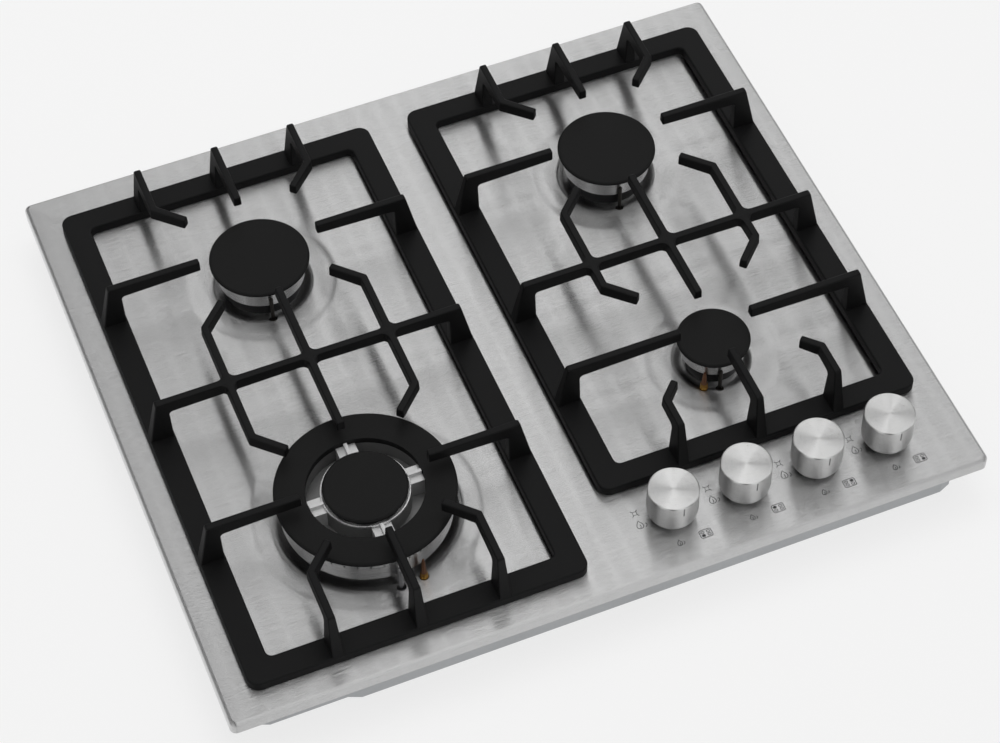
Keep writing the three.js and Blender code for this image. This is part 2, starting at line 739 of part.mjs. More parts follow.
const knobBase = knobRadius - 2;
const knobEdge = 0.8;
const knobSkirt = 4; // height over which the lower edge rounds in
const knobWall = 2;
const knobRoof = 7;
const hubWall = 2.5;
const hubLift = 3; // the hub starts this far above the knob's lower edge
const spindleHigh = knobTop - 11;
const spigotRadius = 4;
const outletWall = 1.5;
const outletReach = 4;
const spindleDepth = 8; // how far a spindle reaches into its plug
const plugRadius = spindleRadius + gap + 3.5;
const plugFoot = plugRadius - 1.6;
const valveLift = 3.7; // between a valve body and the tray's floor
const valveWall = { side: 5.2, front: 6.2, rear: 6.2, top: 1, floor: 3 }; // round the plug
const valveBox = {
  side: plugRadius + valveWall.side, front: plugRadius + valveWall.front,
  rear: plugRadius + valveWall.rear, low: trayFloor + valveLift,
  high: pipeHighZ + pipeRadius + outletWall + valveWall.top,
};
const plugTop = valveBox.high - valveWall.top;
const plugLow = valveBox.low + valveWall.floor;
const spindleLow = plugTop - spindleDepth;

function knob() {
  const bore = spindleRadius + gap;
  const roof = knobTop - knobRoof;
  const hubLow = knobLift + hubLift;
  const profile = [
    [0, knobTop], [knobRadius - knobEdge, knobTop], [knobRadius, knobTop - knobEdge],
    [knobRadius, knobLift + knobSkirt], [knobBase, knobLift], [knobBase - knobWall, knobLift],
    [knobBase - knobWall, roof], [bore + hubWall, roof], [bore + hubWall, hubLow], [bore, hubLow],
    [bore, spindleHigh + gap], [0, spindleHigh + gap],
  ];
  return revolve(profile, knobSides);
}

const spindle = disc(spindleRadius, spindleLow, spindleHigh, thinSides);

function valvePlug() {
  const bore = spindleRadius + gap;
  const profile = [
    [0, plugLow], [plugFoot, plugLow], [plugRadius, plugTop], [bore, plugTop],
    [bore, spindleLow - knobTravel - gap], [0, spindleLow - knobTravel - gap],
  ];
  return revolve(profile, plugSides);
}

// The body holds the plug in a taper. A spigot reaches the rail and an outlet faces the pipe.
function valveBody() {
  const { side, front, rear, low, high } = valveBox;
  const slope = (plugRadius - plugFoot) / (plugTop - plugLow);
  const taper = revolve(
    [
      [0, plugLow - gap], [plugFoot + gap, plugLow - gap],
      [plugRadius + gap + slope, plugTop + gap], [0, plugTop + gap],
    ],
    plugSides,
  );
  const toRail = railY - railRadius - gap - knobY;
  const spigot = disc(spigotRadius, rear - over, toRail, thinSides)
    .rotateX(-Math.PI / 2).translate(0, 0, railZ);
  const outlet = disc(pipeRadius + outletWall, rear - over, rear + outletReach, thinSides)
    .rotateX(-Math.PI / 2).translate(0, 0, pipeHighZ);
  return cut(
    join(block(-side, side, -front, rear, low, high), spigot, outlet),
    taper, disc(spindleRadius + gap, plugTop, high + over, plugSides),
  );
}

knobPlaces.forEach((x, i) => {
  add(`knob_${i + 1}`, knob(), spunMetal, x, knobY);
  add(`spindle_${i + 1}`, spindle, plainSteel, x, knobY);
  add(`valve_plug_${i + 1}`, valvePlug(), brass, x, knobY);
  add(`valve_body_${i + 1}`, valveBody(), brass, x, knobY);
});

// ---------------------------------------------------------------- gas and ignition below the plate

const railStart = knobPlaces[0] - 14; // the rail's closed end lies beyond the first valve
const nippleIn = 14; // how far the inlet reaches inwards and outwards from the tray's rear wall
const nippleOut = 12;

add(
  "manifold_rail",
  rod(
    [[railStart, railY, railZ], [railX, railY, railZ], [railX, trayRear - nippleIn - gap, railZ]],
    railBend, railRadius, pipeSides,
  ),
  plainSteel,
);

const nippleCollar = { radius: nippleRadius + 1.5, from: -3 };

function gasInlet() {
  const profile = [
    [nippleBore, nippleOut], [nippleRadius, nippleOut], [nippleRadius, nippleCollar.from],
    [nippleCollar.radius, nippleCollar.from], [nippleCollar.radius, -nippleIn],
    [nippleBore, -nippleIn],
  ];
  return revolve(profile, pipeSides).rotateX(-Math.PI / 2);
}
add("gas_inlet", gasInlet(), brass, railX, trayRear, railZ);

const bracket = { base: railRadius + 8, upright: railRadius + 3, sheet: 2, width: 12 };
const cradleSteps = 6;

// A bracket stands on the tray's floor and cradles the rail.
function railBracket() {
  const { base, upright, sheet, width } = bracket;
  const foot = trayFloor + sheet;
  const outline = [
    [-base, trayFloor], [base, trayFloor], [base, foot], [upright, foot], [upright, railZ],
    ...arc(0, railZ, railRadius + gap, 0, -180, cradleSteps), [-upright, railZ], [-upright, foot],
    [-base, foot],
  ];
  const shape = new THREE.Shape(outline.map(([s, z]) => new THREE.Vector2(s, z)));
  return new THREE.ExtrudeGeometry(shape, { depth: width, bevelEnabled: false })
    .translate(0, 0, -width / 2).rotateX(Math.PI / 2).rotateZ(Math.PI / 2);
}
add("rail_bracket_left", railBracket(), zincSteel, (knobPlaces[0] + knobPlaces[1]) / 2, railY);
add("rail_bracket_right", railBracket(), zincSteel, (knobPlaces[2] + knobPlaces[3]) / 2, railY);

// Each feed pipe leaves its valve over the rail, drops, and meets its burner's throat.
const pipeStart = knobY + valveBox.rear + outletReach + gap;
const overRail = railY + 16; // a pipe runs level up to here, past the rail
const aisle = 12; // x of the way to the rear between the left burners and the right
const besideRear = rearRight.x + 49; // x of the way to the rear right burner
const besideWok = frontLeft.x + 80; // x where the front left pipe turns to its burner
const pipeTurn = { aside: 30, back: 18 }; // how the front left pipe drops behind the rail
const feedPipe = (x, ...onward) =>
  rod([[x, pipeStart, pipeHighZ], ...onward], pipeBend, pipeRadius, thinSides);
const throatAt = (burner, dx, dy) => [
  burner.x + dx * (burner.size.throat + gap), burner.y + dy * (burner.size.throat + gap), pipeLowZ,
];
const [knob1, knob2, knob3, knob4] = knobPlaces;
add(
  "feed_pipe_front_left",
  feedPipe(
    knob1, [knob1, overRail, pipeHighZ],
    [knob1 - pipeTurn.aside, overRail + pipeTurn.back, pipeLowZ],
    [besideWok, frontLeft.y, pipeLowZ], throatAt(frontLeft, 1, 0),
  ),
  aluminium,
);
add(
  "feed_pipe_rear_left",
  feedPipe(
    knob2, [knob2, overRail, pipeHighZ], [aisle, frontRight.y + 26, pipeLowZ],
    [aisle, rearLeft.y, pipeLowZ], throatAt(rearLeft, 1, 0),
  ),
  aluminium,
);
add(
  "feed_pipe_rear_right",
  feedPipe(
    knob3, [knob3, frontRight.y + 40, pipeHighZ], [besideRear, rearRight.y - 60, pipeLowZ],
    [besideRear, rearRight.y, pipeLowZ], throatAt(rearRight, 1, 0),
  ),
  aluminium,
);
add(
  "feed_pipe_front_right",
  feedPipe(
    knob4, [knob4, overRail, pipeHighZ], [knob4, frontRight.y - 40, pipeLowZ],
    [knob4, frontRight.y, pipeLowZ], throatAt(frontRight, 1, 0),
  ),
  aluminium,
);

// The spark module stands on the tray's floor, with a row of terminals on top.
const sparkBox = { x: 70, y: 180, width: 64, depth: 36, height: 16 };
const terminal = { radius: 3, height: 5, pitch: 14, y: 8 };

function ignitionModule() {
  const { width, depth, height } = sparkBox;
  const top = trayFloor + height;
  const terminals = fourInRow.map((i) =>
    disc(terminal.radius, top - over, top + terminal.height, thinSides)
      .translate(i * terminal.pitch, terminal.y, 0),
  );
  return join(block(-width / 2, width / 2, -depth / 2, depth / 2, trayFloor, top), ...terminals);
}
add("ignition_module", ignitionModule(), moulding, sparkBox.x, sparkBox.y);

const gland = {
  bore: glandRadius - 2.5, collar: glandRadius + 2.5, mouth: glandRadius - 0.9,
  inwards: -6, outwards: 8,
};

// The gland for the mains lead, in the tray's rear wall.
function mainsGland() {
  const { bore, collar, mouth, inwards, outwards } = gland;
  const inside = -traySheet - gap;
  const profile = [
    [bore, inwards], [collar, inwards], [collar, inside], [glandRadius, inside],
    [glandRadius, gap], [collar, gap], [mouth, outwards], [bore, outwards],
  ];
  return revolve(profile, thinSides).rotateX(-Math.PI / 2);
}
add("mains_gland", mainsGland(), rubber, glandX, trayRear, glandZ);

export default root;
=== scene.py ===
# %% [markdown]
# # A four-burner gas cooktop
# This lesson dresses a cooktop that is already built and measured. Its frame gives the place and
# size of every piece, and the pieces made here keep to it. The finishes are brushed steel, cast
# iron with a matte enamel, turned aluminium and a little copper and brass. First comes the frame,
# with the measures that the later cells share.

# %% The frame and the shared measures
import json
import math

import bmesh
import bpy
from mathutils import Matrix, Vector


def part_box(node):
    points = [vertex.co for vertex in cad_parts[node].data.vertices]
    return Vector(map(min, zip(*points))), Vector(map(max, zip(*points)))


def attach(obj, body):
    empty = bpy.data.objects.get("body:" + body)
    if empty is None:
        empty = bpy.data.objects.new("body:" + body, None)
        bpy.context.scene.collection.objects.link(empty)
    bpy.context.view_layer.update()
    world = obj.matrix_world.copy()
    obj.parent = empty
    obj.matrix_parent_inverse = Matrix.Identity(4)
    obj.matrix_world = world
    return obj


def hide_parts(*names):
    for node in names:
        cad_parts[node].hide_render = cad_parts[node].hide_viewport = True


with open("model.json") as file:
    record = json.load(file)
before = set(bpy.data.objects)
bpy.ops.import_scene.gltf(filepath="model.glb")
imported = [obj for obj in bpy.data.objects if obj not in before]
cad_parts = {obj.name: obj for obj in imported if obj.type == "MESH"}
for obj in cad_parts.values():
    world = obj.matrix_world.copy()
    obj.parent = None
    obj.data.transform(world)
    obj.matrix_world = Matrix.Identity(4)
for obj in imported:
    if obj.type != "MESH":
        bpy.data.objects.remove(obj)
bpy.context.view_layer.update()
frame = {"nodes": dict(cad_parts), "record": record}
mm = 0.001
plate_low, plate_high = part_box("top_plate")
plate_top = plate_high.z

# %% [markdown]
# ## The camera
# A product picture is easiest to match when the camera is set from angles: how far it has walked
# round the object, how high it looks down from, and how far away it stands. A long lens keeps the
# plate's edges nearly parallel. Three angles give the three axes of the camera, and its distance
# puts it in place.

# %% A camera from three angles
def place_camera(azimuth, elevation, roll, aside, above, distance, lens):
    turn, rise, tilt = (math.radians(angle) for angle in (azimuth, elevation, roll))
    flat = math.cos(rise)
    back = Vector((math.sin(turn) * flat, -math.cos(turn) * flat, math.sin(rise)))
    right = Vector((math.cos(turn), math.sin(turn), 0))
    up = back.cross(right)
    across = right * math.cos(tilt) + up * math.sin(tilt)
    upright = up * math.cos(tilt) - right * math.sin(tilt)
    data = bpy.data.cameras.new("camera")
    data.lens = lens
    camera = bpy.data.objects.new("camera", data)
    bpy.context.scene.collection.objects.link(camera)
    axes = Matrix((across, upright, back)).transposed().to_4x4()
    place = Vector((0, 0, plate_top)) + across * aside + upright * above + back * distance
    camera.matrix_world = Matrix.Translation(place) @ axes
    bpy.context.scene.camera = camera
    return camera


camera = place_camera(
    azimuth=-21.459, elevation=53.084, roll=-0.893,
    aside=8.686 * mm, above=-33.501 * mm, distance=2.09466, lens=98.64,
)
print("camera at", [round(v, 3) for v in camera.location], "lens", round(camera.data.lens, 1))

# %% [markdown]
# ## The studio
# Steel shows the room more than it shows itself, so the room matters. The world is white for the
# camera. For everything else it stands for a ring of five soft panels with grey between them, which
# gives turned metal its upright bands. It brightens towards the ceiling and towards one side, and
# one panel has a brighter middle. One broad lamp overhead adds the soft shadows, and a pale floor
# catches the shadow of the cooktop. A few helpers keep the building of nodes short: each takes
# plain values or the outputs of other nodes.

# %% Helpers for nodes
def tree_of(block):
    block.use_nodes = True
    tree = block.node_tree
    return tree, tree.nodes, tree.links


def feed(tree, socket, value):
    """Links another node's output to a socket, or gives it a plain value."""
    if isinstance(value, bpy.types.NodeSocket):
        tree.links.new(value, socket)
    else:
        socket.default_value = value


def math_node(tree, operation, *values):
    node = tree.nodes.new("ShaderNodeMath")
    node.operation = operation
    for socket, value in zip(node.inputs, values):
        feed(tree, socket, value)
    return node.outputs[0]


def vector_node(tree, operation, first, second=None):
    node = tree.nodes.new("ShaderNodeVectorMath")
    node.operation = operation
    feed(tree, node.inputs[0], first)
    if second is not None:
        feed(tree, node.inputs["Scale" if operation == "SCALE" else 1], second)
    return node.outputs["Value" if operation == "DOT_PRODUCT" else "Vector"]


def ranged(tree, value, low, high, to_low, to_high, smooth=False):
    """A value carried from one range to another, and held at both ends."""
    node = tree.nodes.new("ShaderNodeMapRange")
    node.interpolation_type = "SMOOTHSTEP" if smooth else "LINEAR"
    for label, number in zip(("From Min", "From Max", "To Min", "To Max"), (low, high, to_low, to_high)):
        node.inputs[label].default_value = number
    tree.links.new(value, node.inputs["Value"])
    return node.outputs["Result"]


print("helpers for nodes ready")

# %% The world
panel_count, panel_phase = 5.0, 2.094
panel_swing, panel_level = 0.55, 0.54
window_way = Vector((0.26, 0.45, 0.86)).normalized()
window_focus, window_glow = 14.0, 0.3


def make_world():
    world = bpy.data.worlds.new("studio")
    bpy.context.scene.world = world
    tree, nodes, links = tree_of(world)
    nodes.clear()
    output = nodes.new("ShaderNodeOutputWorld")
    choose = nodes.new("ShaderNodeMixShader")
    rays = nodes.new("ShaderNodeLightPath")
    way = nodes.new("ShaderNodeTexCoord").outputs["Generated"]
    parts = nodes.new("ShaderNodeSeparateXYZ")
    links.new(way, parts.inputs[0])
    x, y, z = parts.outputs
    turned = math_node(
        tree, "MULTIPLY_ADD", math_node(tree, "ARCTAN2", y, x), panel_count, panel_phase,
    )
    level = math_node(
        tree, "MULTIPLY_ADD", math_node(tree, "SINE", turned), panel_swing, panel_level,
    )
    for factor in (
        ranged(tree, z, 0.6, 1.0, 0.8, 1.25, smooth=True),
        ranged(tree, x, 0.02, 0.26, 0.82, 1.16, smooth=True),
        ranged(tree, z, 0.0, 0.35, 0.5, 1.0),
    ):
        level = math_node(tree, "MULTIPLY", level, factor)
    window = vector_node(tree, "DOT_PRODUCT", way, window_way)
    near = math_node(tree, "POWER", math_node(tree, "MAXIMUM", window, 0.0), window_focus)
    strengths = (math_node(tree, "MULTIPLY_ADD", near, window_glow, level), 1.0)
    for socket, strength in zip(choose.inputs[1:], strengths):
        light = nodes.new("ShaderNodeBackground")
        light.inputs["Color"].default_value = (1, 1, 1, 1)
        feed(tree, light.inputs["Strength"], strength)
        links.new(light.outputs[0], socket)
    links.new(rays.outputs["Is Camera Ray"], choose.inputs["Fac"])
    links.new(choose.outputs[0], output.inputs["Surface"])


make_world()
bpy.context.scene.view_settings.view_transform = "Standard"
print("world made")

# %% The lamp and the floor
def lamp(name, place, aim, size, power):
    data = bpy.data.lights.new(name, "AREA")
    data.shape = "DISK"
    data.size = size
    data.energy = power
    light = bpy.data.objects.new(name, data)
    bpy.context.scene.collection.objects.link(light)
    light.location = place
    light.rotation_euler = (Vector(aim) - Vector(place)).to_track_quat("-Z", "Y").to_euler()
    return light


key = lamp("overhead", (0.1, 0.7, 2.3), (0, 0, 0), 1.8, 12)
key.visible_glossy = False


def make_floor():
    bm = bmesh.new()
    bmesh.ops.create_grid(bm, x_segments=1, y_segments=1, size=6)
    mesh = bpy.data.meshes.new("floor")
    bm.to_mesh(mesh)
    bm.free()
    floor = bpy.data.objects.new("floor", mesh)
    bpy.context.scene.collection.objects.link(floor)
    material = bpy.data.materials.new("floor")
    tree, nodes, links = tree_of(material)
    nodes.clear()
    output = nodes.new("ShaderNodeOutputMaterial")
    matte = nodes.new("ShaderNodeBsdfDiffuse")
    matte.inputs["Color"].default_value = (0.9, 0.9, 0.9, 1)
    glow = nodes.new("ShaderNodeEmission")
    rays = nodes.new("ShaderNodeLightPath")
    mix = nodes.new("ShaderNodeMixShader")
    seen = math_node(tree, "MAXIMUM", rays.outputs["Is Camera Ray"], rays.outputs["Is Glossy Ray"])
    seen = math_node(tree, "MAXIMUM", seen, rays.outputs["Is Transmission Ray"])
    links.new(math_node(tree, "MULTIPLY", seen, 0.75), mix.inputs["Fac"])
    links.new(matte.outputs[0], mix.inputs[1])
    links.new(glow.outputs[0], mix.inputs[2])
    links.new(mix.outputs[0], output.inputs["Surface"])
    mesh.materials.append(material)


make_floor()
print("floor and lamp made")

# %% [markdown]
# ## Finishes that share their making
# Two effects appear again and again. Brushed and turned metal has fine lines that all run one way,
# and cast or enamelled iron has a fine grain with broad, faint clouds. Each is a node group with
# its own inputs, so every material can use it at its own scale. The groups give only values and a
# normal. The shader stays in the material.

# %% A node group for lines that run one way
def group(name, inputs, outputs):
    tree = bpy.data.node_groups.new(name, "ShaderNodeTree")
    for label, kind, start in inputs:
        socket = tree.interface.new_socket(name=label, in_out="INPUT", socket_type=kind)
        if start is not None:
            socket.default_value = start
    for label, kind in outputs:
        tree.interface.new_socket(name=label, in_out="OUTPUT", socket_type=kind)
    return tree, tree.nodes.new("NodeGroupInput"), tree.nodes.new("NodeGroupOutput")


def noise_node(tree, vector, scale, detail, roughness=0.5):
    node = tree.nodes.new("ShaderNodeTexNoise")
    feed(tree, node.inputs["Scale"], scale)
    node.inputs["Detail"].default_value = detail
    node.inputs["Roughness"].default_value = roughness
    tree.links.new(vector, node.inputs["Vector"])
    return node.outputs["Fac"]


def brushed_lines():
    """Each line leans its own way across the brushing, so that light fans out across it."""
    tree, given, result = group(
        "brushed_lines",
        [("Vector", "NodeSocketVector", None), ("Stretch", "NodeSocketVector", (1, 1, 1)),
         ("Along", "NodeSocketVector", (1, 0, 0)), ("Fan", "NodeSocketFloat", 1.0)],
        [("Lines", "NodeSocketFloat"), ("Clouds", "NodeSocketFloat"), ("Normal", "NodeSocketVector")],
    )
    links = tree.links
    stretched = vector_node(tree, "MULTIPLY", given.outputs["Vector"], given.outputs["Stretch"])
    fine = noise_node(tree, stretched, 1.0, 1.0)
    clouds = noise_node(tree, given.outputs["Vector"], 9.0, 3.0)
    surface = tree.nodes.new("ShaderNodeNewGeometry").outputs["Normal"]
    across = vector_node(tree, "CROSS_PRODUCT", surface, given.outputs["Along"])
    lean = math_node(tree, "MULTIPLY", math_node(tree, "SUBTRACT", fine, 0.5), given.outputs["Fan"])
    leaning = vector_node(tree, "ADD", surface, vector_node(tree, "SCALE", across, lean))
    links.new(fine, result.inputs["Lines"])
    links.new(clouds, result.inputs["Clouds"])
    links.new(vector_node(tree, "NORMALIZE", leaning), result.inputs["Normal"])
    return tree


lines_group = brushed_lines()
print("group", lines_group.name)

# %% A node group for a cast or enamelled grain
def cast_grain():
    tree, given, result = group(
        "cast_grain",
        [("Vector", "NodeSocketVector", None), ("Size", "NodeSocketFloat", 900.0),
         ("Depth", "NodeSocketFloat", 0.2)],
        [("Grain", "NodeSocketFloat"), ("Clouds", "NodeSocketFloat"), ("Normal", "NodeSocketVector")],
    )
    links = tree.links
    fine = noise_node(tree, given.outputs["Vector"], given.outputs["Size"], 4.0, 0.6)
    clouds = noise_node(tree, given.outputs["Vector"], 22.0, 3.0)
    bump = tree.nodes.new("ShaderNodeBump")
    bump.inputs["Distance"].default_value = 0.0004
    links.new(given.outputs["Depth"], bump.inputs["Strength"])
    links.new(fine, bump.inputs["Height"])
    links.new(fine, result.inputs["Grain"])
    links.new(clouds, result.inputs["Clouds"])
    links.new(bump.outputs["Normal"], result.inputs["Normal"])
    return tree


grain_group = cast_grain()
print("group", grain_group.name)

# %% [markdown]
# ## The materials
# A function makes each kind of finish, and each finish of the cooktop is one call. The colour of a
# metal varies by a few parts in a hundred along its lines, and its roughness varies with it.
# What draws a highlight out across the brushing is that the lines lean to and fro, and the shader's
# own anisotropy adds to it. Both need a direction, which comes from a map laid on the piece: along
# the lines on the plate, round the axis on turned pieces.

# %% Metal and enamel
def new_material(name):
    material = bpy.data.materials.new(name)
    tree, nodes, _ = tree_of(material)
    return material, tree, nodes["Principled BSDF"]


def effect(tree, shared, vector, **values):
    node = tree.nodes.new("ShaderNodeGroup")
    node.node_tree = shared
    tree.links.new(vector, node.inputs["Vector"])
    for name, value in values.items():
        node.inputs[name].default_value = value
    return node.outputs


def two_tone(tree, value, colour, contrast):
    """The colour, a little darker where the value is low and lighter where it is high."""
    node = tree.nodes.new("ShaderNodeValToRGB")
    stops = zip(node.color_ramp.elements, (0.3, 0.7), (1 - contrast, 1 + contrast))
    for stop, place, factor in stops:
        stop.position = place
        stop.color = (*[min(1.0, channel * factor) for channel in colour], 1)
    tree.links.new(value, node.inputs["Fac"])
    return node.outputs["Color"]


def vary(tree, shader, found, share, colour, contrast, roughness, swing):
    """Colour, roughness and normal from an effect. The rest of the share comes from its clouds."""
    clouds = math_node(tree, "MULTIPLY", found["Clouds"], 1 - share)
    both = math_node(tree, "MULTIPLY_ADD", found[0], share, clouds)
    tree.links.new(two_tone(tree, both, colour, contrast), shader.inputs["Base Color"])
    rough = ranged(tree, both, 0.3, 0.7, roughness * (1 - swing), min(1.0, roughness * (1 + swing)))
    tree.links.new(rough, shader.inputs["Roughness"])
    tree.links.new(found["Normal"], shader.inputs["Normal"])


def lined_metal(name, colour, roughness, stretch, fan, contrast=0.04, by_map=False):
    """Metal with lines. Its lines run along the object's x, or round the axis where by_map is set."""
    material, tree, shader = new_material(name)
    place = tree.nodes.new("ShaderNodeTexCoord")
    vector = place.outputs["UV" if by_map else "Object"]
    found = effect(tree, lines_group, vector, Stretch=stretch, Fan=fan)
    tangent = tree.nodes.new("ShaderNodeTangent")
    tangent.direction_type = "UV_MAP"
    tangent.uv_map = "turned" if by_map else "brushed"
    for socket in (found["Lines"].node.inputs["Along"], shader.inputs["Tangent"]):
        tree.links.new(tangent.outputs[0], socket)
    vary(tree, shader, found, 0.7, colour, contrast, roughness, 0.15)
    shader.inputs["Metallic"].default_value = 1.0
    shader.inputs["Anisotropic"].default_value = 1.0
    shader.inputs["Anisotropic Rotation"].default_value = 0.25
    return material


def grained(name, colour, roughness, size, depth, contrast=0.15, metallic=0.0, gloss=0.5):
    """Enamel, rubber, moulded plastic or rough metal with a fine grain."""
    material, tree, shader = new_material(name)
    place = tree.nodes.new("ShaderNodeTexCoord")
    found = effect(tree, grain_group, place.outputs["Object"], Size=size, Depth=depth)
    vary(tree, shader, found, 0.4, colour, contrast, roughness, 0.1)
    shader.inputs["Metallic"].default_value = metallic
    shader.inputs["Specular IOR Level"].default_value = gloss
    return material


print("two kinds of finish")

# %% Every finish of the cooktop
across_plate = (60, 40000, 40000)
round_piece = (9, 24000, 1)

brushed_steel = lined_metal(
    "brushed_steel", (0.62, 0.62, 0.62), 0.28, across_plate, 3.6, contrast=0.02,
)
zinc_steel = grained("zinc_steel", (0.42, 0.43, 0.44), 0.45, 260, 0.06, 0.10, metallic=1.0)
iron_enamel = grained("iron_enamel", (0.0095, 0.0095, 0.0098), 0.5, 1500, 0.12, gloss=0.14)
cap_enamel = grained("cap_enamel", (0.0125, 0.0125, 0.0125), 0.58, 2400, 0.10, gloss=0.14)
rubber = grained("rubber", (0.010, 0.010, 0.010), 0.85, 1200, 0.15, gloss=0.3)
turned_aluminium = lined_metal(
    "turned_aluminium", (0.78, 0.78, 0.78), 0.28, round_piece, 1.6, by_map=True,
)
spun_steel = lined_metal(
    "spun_steel", (0.71, 0.71, 0.705), 0.30, round_piece, 1.2, by_map=True,
)
cast_aluminium = grained("cast_aluminium", (0.74, 0.74, 0.74), 0.45, 1100, 0.08, 0.05, metallic=0.6)
# Darker than the cast aluminium. Inside the double crown it is partly the rough unturned casting and
# partly painted shade. The engraved knob lines take it too.
dull_grey_and_crown_shade = grained("dull_grey_and_crown_shade", (0.30, 0.30, 0.30), 0.5, 1100, 0.10, 0.08, metallic=0.6)
# Near black for the burner cups, and painted shade at the far ends of the flame port slots.
dark_cup_and_slot_shade = grained("dark_cup_and_slot_shade", (0.02, 0.02, 0.021), 0.45, 900, 0.1, metallic=0.3)
copper = grained("copper", (0.30, 0.15, 0.09), 0.33, 700, 0.06, 0.2, metallic=1.0)
brass = grained("brass", (0.55, 0.30, 0.07), 0.30, 700, 0.05, 0.12, metallic=1.0)
plain_steel = grained("plain_steel", (0.42, 0.42, 0.43), 0.33, 800, 0.05, 0.1, metallic=1.0)
heated_steel = grained("heated_steel", (0.06, 0.055, 0.05), 0.4, 800, 0.05, 0.2, metallic=1.0)
aluminium_tube = grained("aluminium_tube", (0.66, 0.66, 0.67), 0.35, 600, 0.05, 0.08, metallic=1.0)
# Near black for the ignition module, and painted shade inside the knobs, under them.
dark_moulding_and_knob_shade = grained("dark_moulding_and_knob_shade", (0.024, 0.025, 0.026), 0.55, 700, 0.08)
ceramic = grained("ceramic", (0.75, 0.73, 0.68), 0.35, 500, 0.03, 0.05)
printed_ink = grained("printed_ink", (0.035, 0.035, 0.037), 0.6, 900, 0.03)
print(len(bpy.data.materials), "materials")

# %% [markdown]
# ## Helpers for pieces
# Most pieces here are turned, as on a lathe: half of the section is drawn as a line of points, its
# corners are rounded, and a spin carries it round the axis. The map that a turned piece gets holds
# the angle round the axis and the way along the section, so that its lines run round it. Every
# piece is finished by the same few steps, which end with weighted normals, so that flat faces
# stay flat beside their rounded edges.

# %% Rounding a section and spinning it
def softened(points, radius, steps=4):
    """The same line of points, each corner rounded by a curve that starts that far from it."""
    out = [points[0]]
    for before, corner, after in zip(points, points[1:], points[2:]):
        before, corner, after = Vector(before), Vector(corner), Vector(after)
        arriving, leaving = (before - corner), (after - corner)
        reach = min(radius, arriving.length * 0.45, leaving.length * 0.45)
        start = corner + arriving.normalized() * reach
        end = corner + leaving.normalized() * reach
        for i in range(steps + 1):
            t = i / steps
            out.append(tuple(start * (1 - t) ** 2 + corner * 2 * t * (1 - t) + end * t * t))
    return [*out, points[-1]]


def map_round(bm):
    """A map with the angle round the z axis and the way along the section."""
    layer = bm.loops.layers.uv.new("turned")
    for face in bm.faces:
        middle = face.calc_center_median()
        middle_angle = math.atan2(middle.y, middle.x)
        for loop in face.loops:
            x, y, z = loop.vert.co
            angle = math.atan2(y, x) if math.hypot(x, y) > 1e-6 else middle_angle
            angle += math.tau * round((middle_angle - angle) / math.tau)
            loop[layer].uv = (angle / math.tau, math.hypot(x, y) + z)


def spun(profile, steps=96, start=0.0, radius=0.4, closed=False):
    """A bmesh turned from a section of (radius, height) points in millimetres."""
    points = softened([*profile, profile[0]] if closed else profile, radius)
    if closed:
        points = points[:-1]
    bm = bmesh.new()
    along, aside = math.cos(start), math.sin(start)
    verts = [bm.verts.new((r * mm * along, r * mm * aside, z * mm)) for r, z in points]
    pairs = list(zip(verts, verts[1:]))
    if closed:
        pairs.append((verts[-1], verts[0]))
    edges = [bm.edges.new(pair) for pair in pairs]
    bmesh.ops.spin(
        bm, geom=verts + edges, cent=(0, 0, 0), axis=(0, 0, 1), angle=math.tau, steps=steps,
        use_merge=True,
    )
    bmesh.ops.remove_doubles(bm, verts=bm.verts, dist=1e-6)
    bmesh.ops.recalc_face_normals(bm, faces=bm.faces)
    return bm


print("a square section of 4 corners rounds to", len(softened([(0, 0), (9, 0), (9, 9), (0, 9)], 1)))

# %% Finishing a piece
def finished(name, bm, material, body, stands_for=(), sharp=40):
    mesh = bpy.data.meshes.new(name)
    for face in bm.faces:
        face.smooth = True
    for edge in bm.edges:
        if len(edge.link_faces) == 2 and edge.calc_face_angle(0) > math.radians(sharp):
            edge.smooth = False
    bm.to_mesh(mesh)
    bm.free()
    for each in (material if isinstance(material, (list, tuple)) else [material]):
        mesh.materials.append(each)
    piece = bpy.data.objects.new(name, mesh)
    bpy.context.scene.collection.objects.link(piece)
    weighted = piece.modifiers.new("even_normals", "WEIGHTED_NORMAL")
    weighted.keep_sharp = True
    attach(piece, body)
    if stands_for:
        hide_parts(*stands_for)
    return piece


def centre_of(node):
    low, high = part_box(node)
    return (low + high) / 2


def turned_box(node):
    """Radius, lowest and highest point of a round node in millimetres, heights from the plate."""
    low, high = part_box(node)
    across = max(high.x - low.x, high.y - low.y)
    return across / 2 / mm, (low.z - plate_top) / mm, (high.z - plate_top) / mm


def stand_at(bm, node, z=plate_top):
    """Moves a bmesh that was made round the origin to the upright axis of a node."""
    middle = centre_of(node)
    bmesh.ops.translate(bm, verts=bm.verts, vec=(middle.x, middle.y, z))


bodies = {node: body for body, nodes in frame["record"]["behaviour"]["bodies"].items() for node in nodes}

# %% [markdown]
# ## The top plate
# The real plate is pressed from one sheet: a flat top, a rolled edge with a lip folded in under it,
# four dishes that hold spills, and holes for the burners and the knobs. It is made here as a single
# skin and thickened at the end, as sheet metal is. The edge comes from an open box with bevelled
# corners, the dishes are spun, and the flat that is left between them is filled in one step. The
# small holes for the electrodes lie where a dish slopes, so they are punched by straight cuts.

# %% Edge, dishes and holes of the plate
burners = ("rear_left", "rear_right", "front_left", "front_right")
knob_numbers = (1, 2, 3, 4)
sheet = 1.0 * mm
corner_radius, edge_radius, lip_width = 5 * mm, 3 * mm, 9 * mm
hole_gap, piece_hole, spindle_hole = 0.3, 3.6, 6
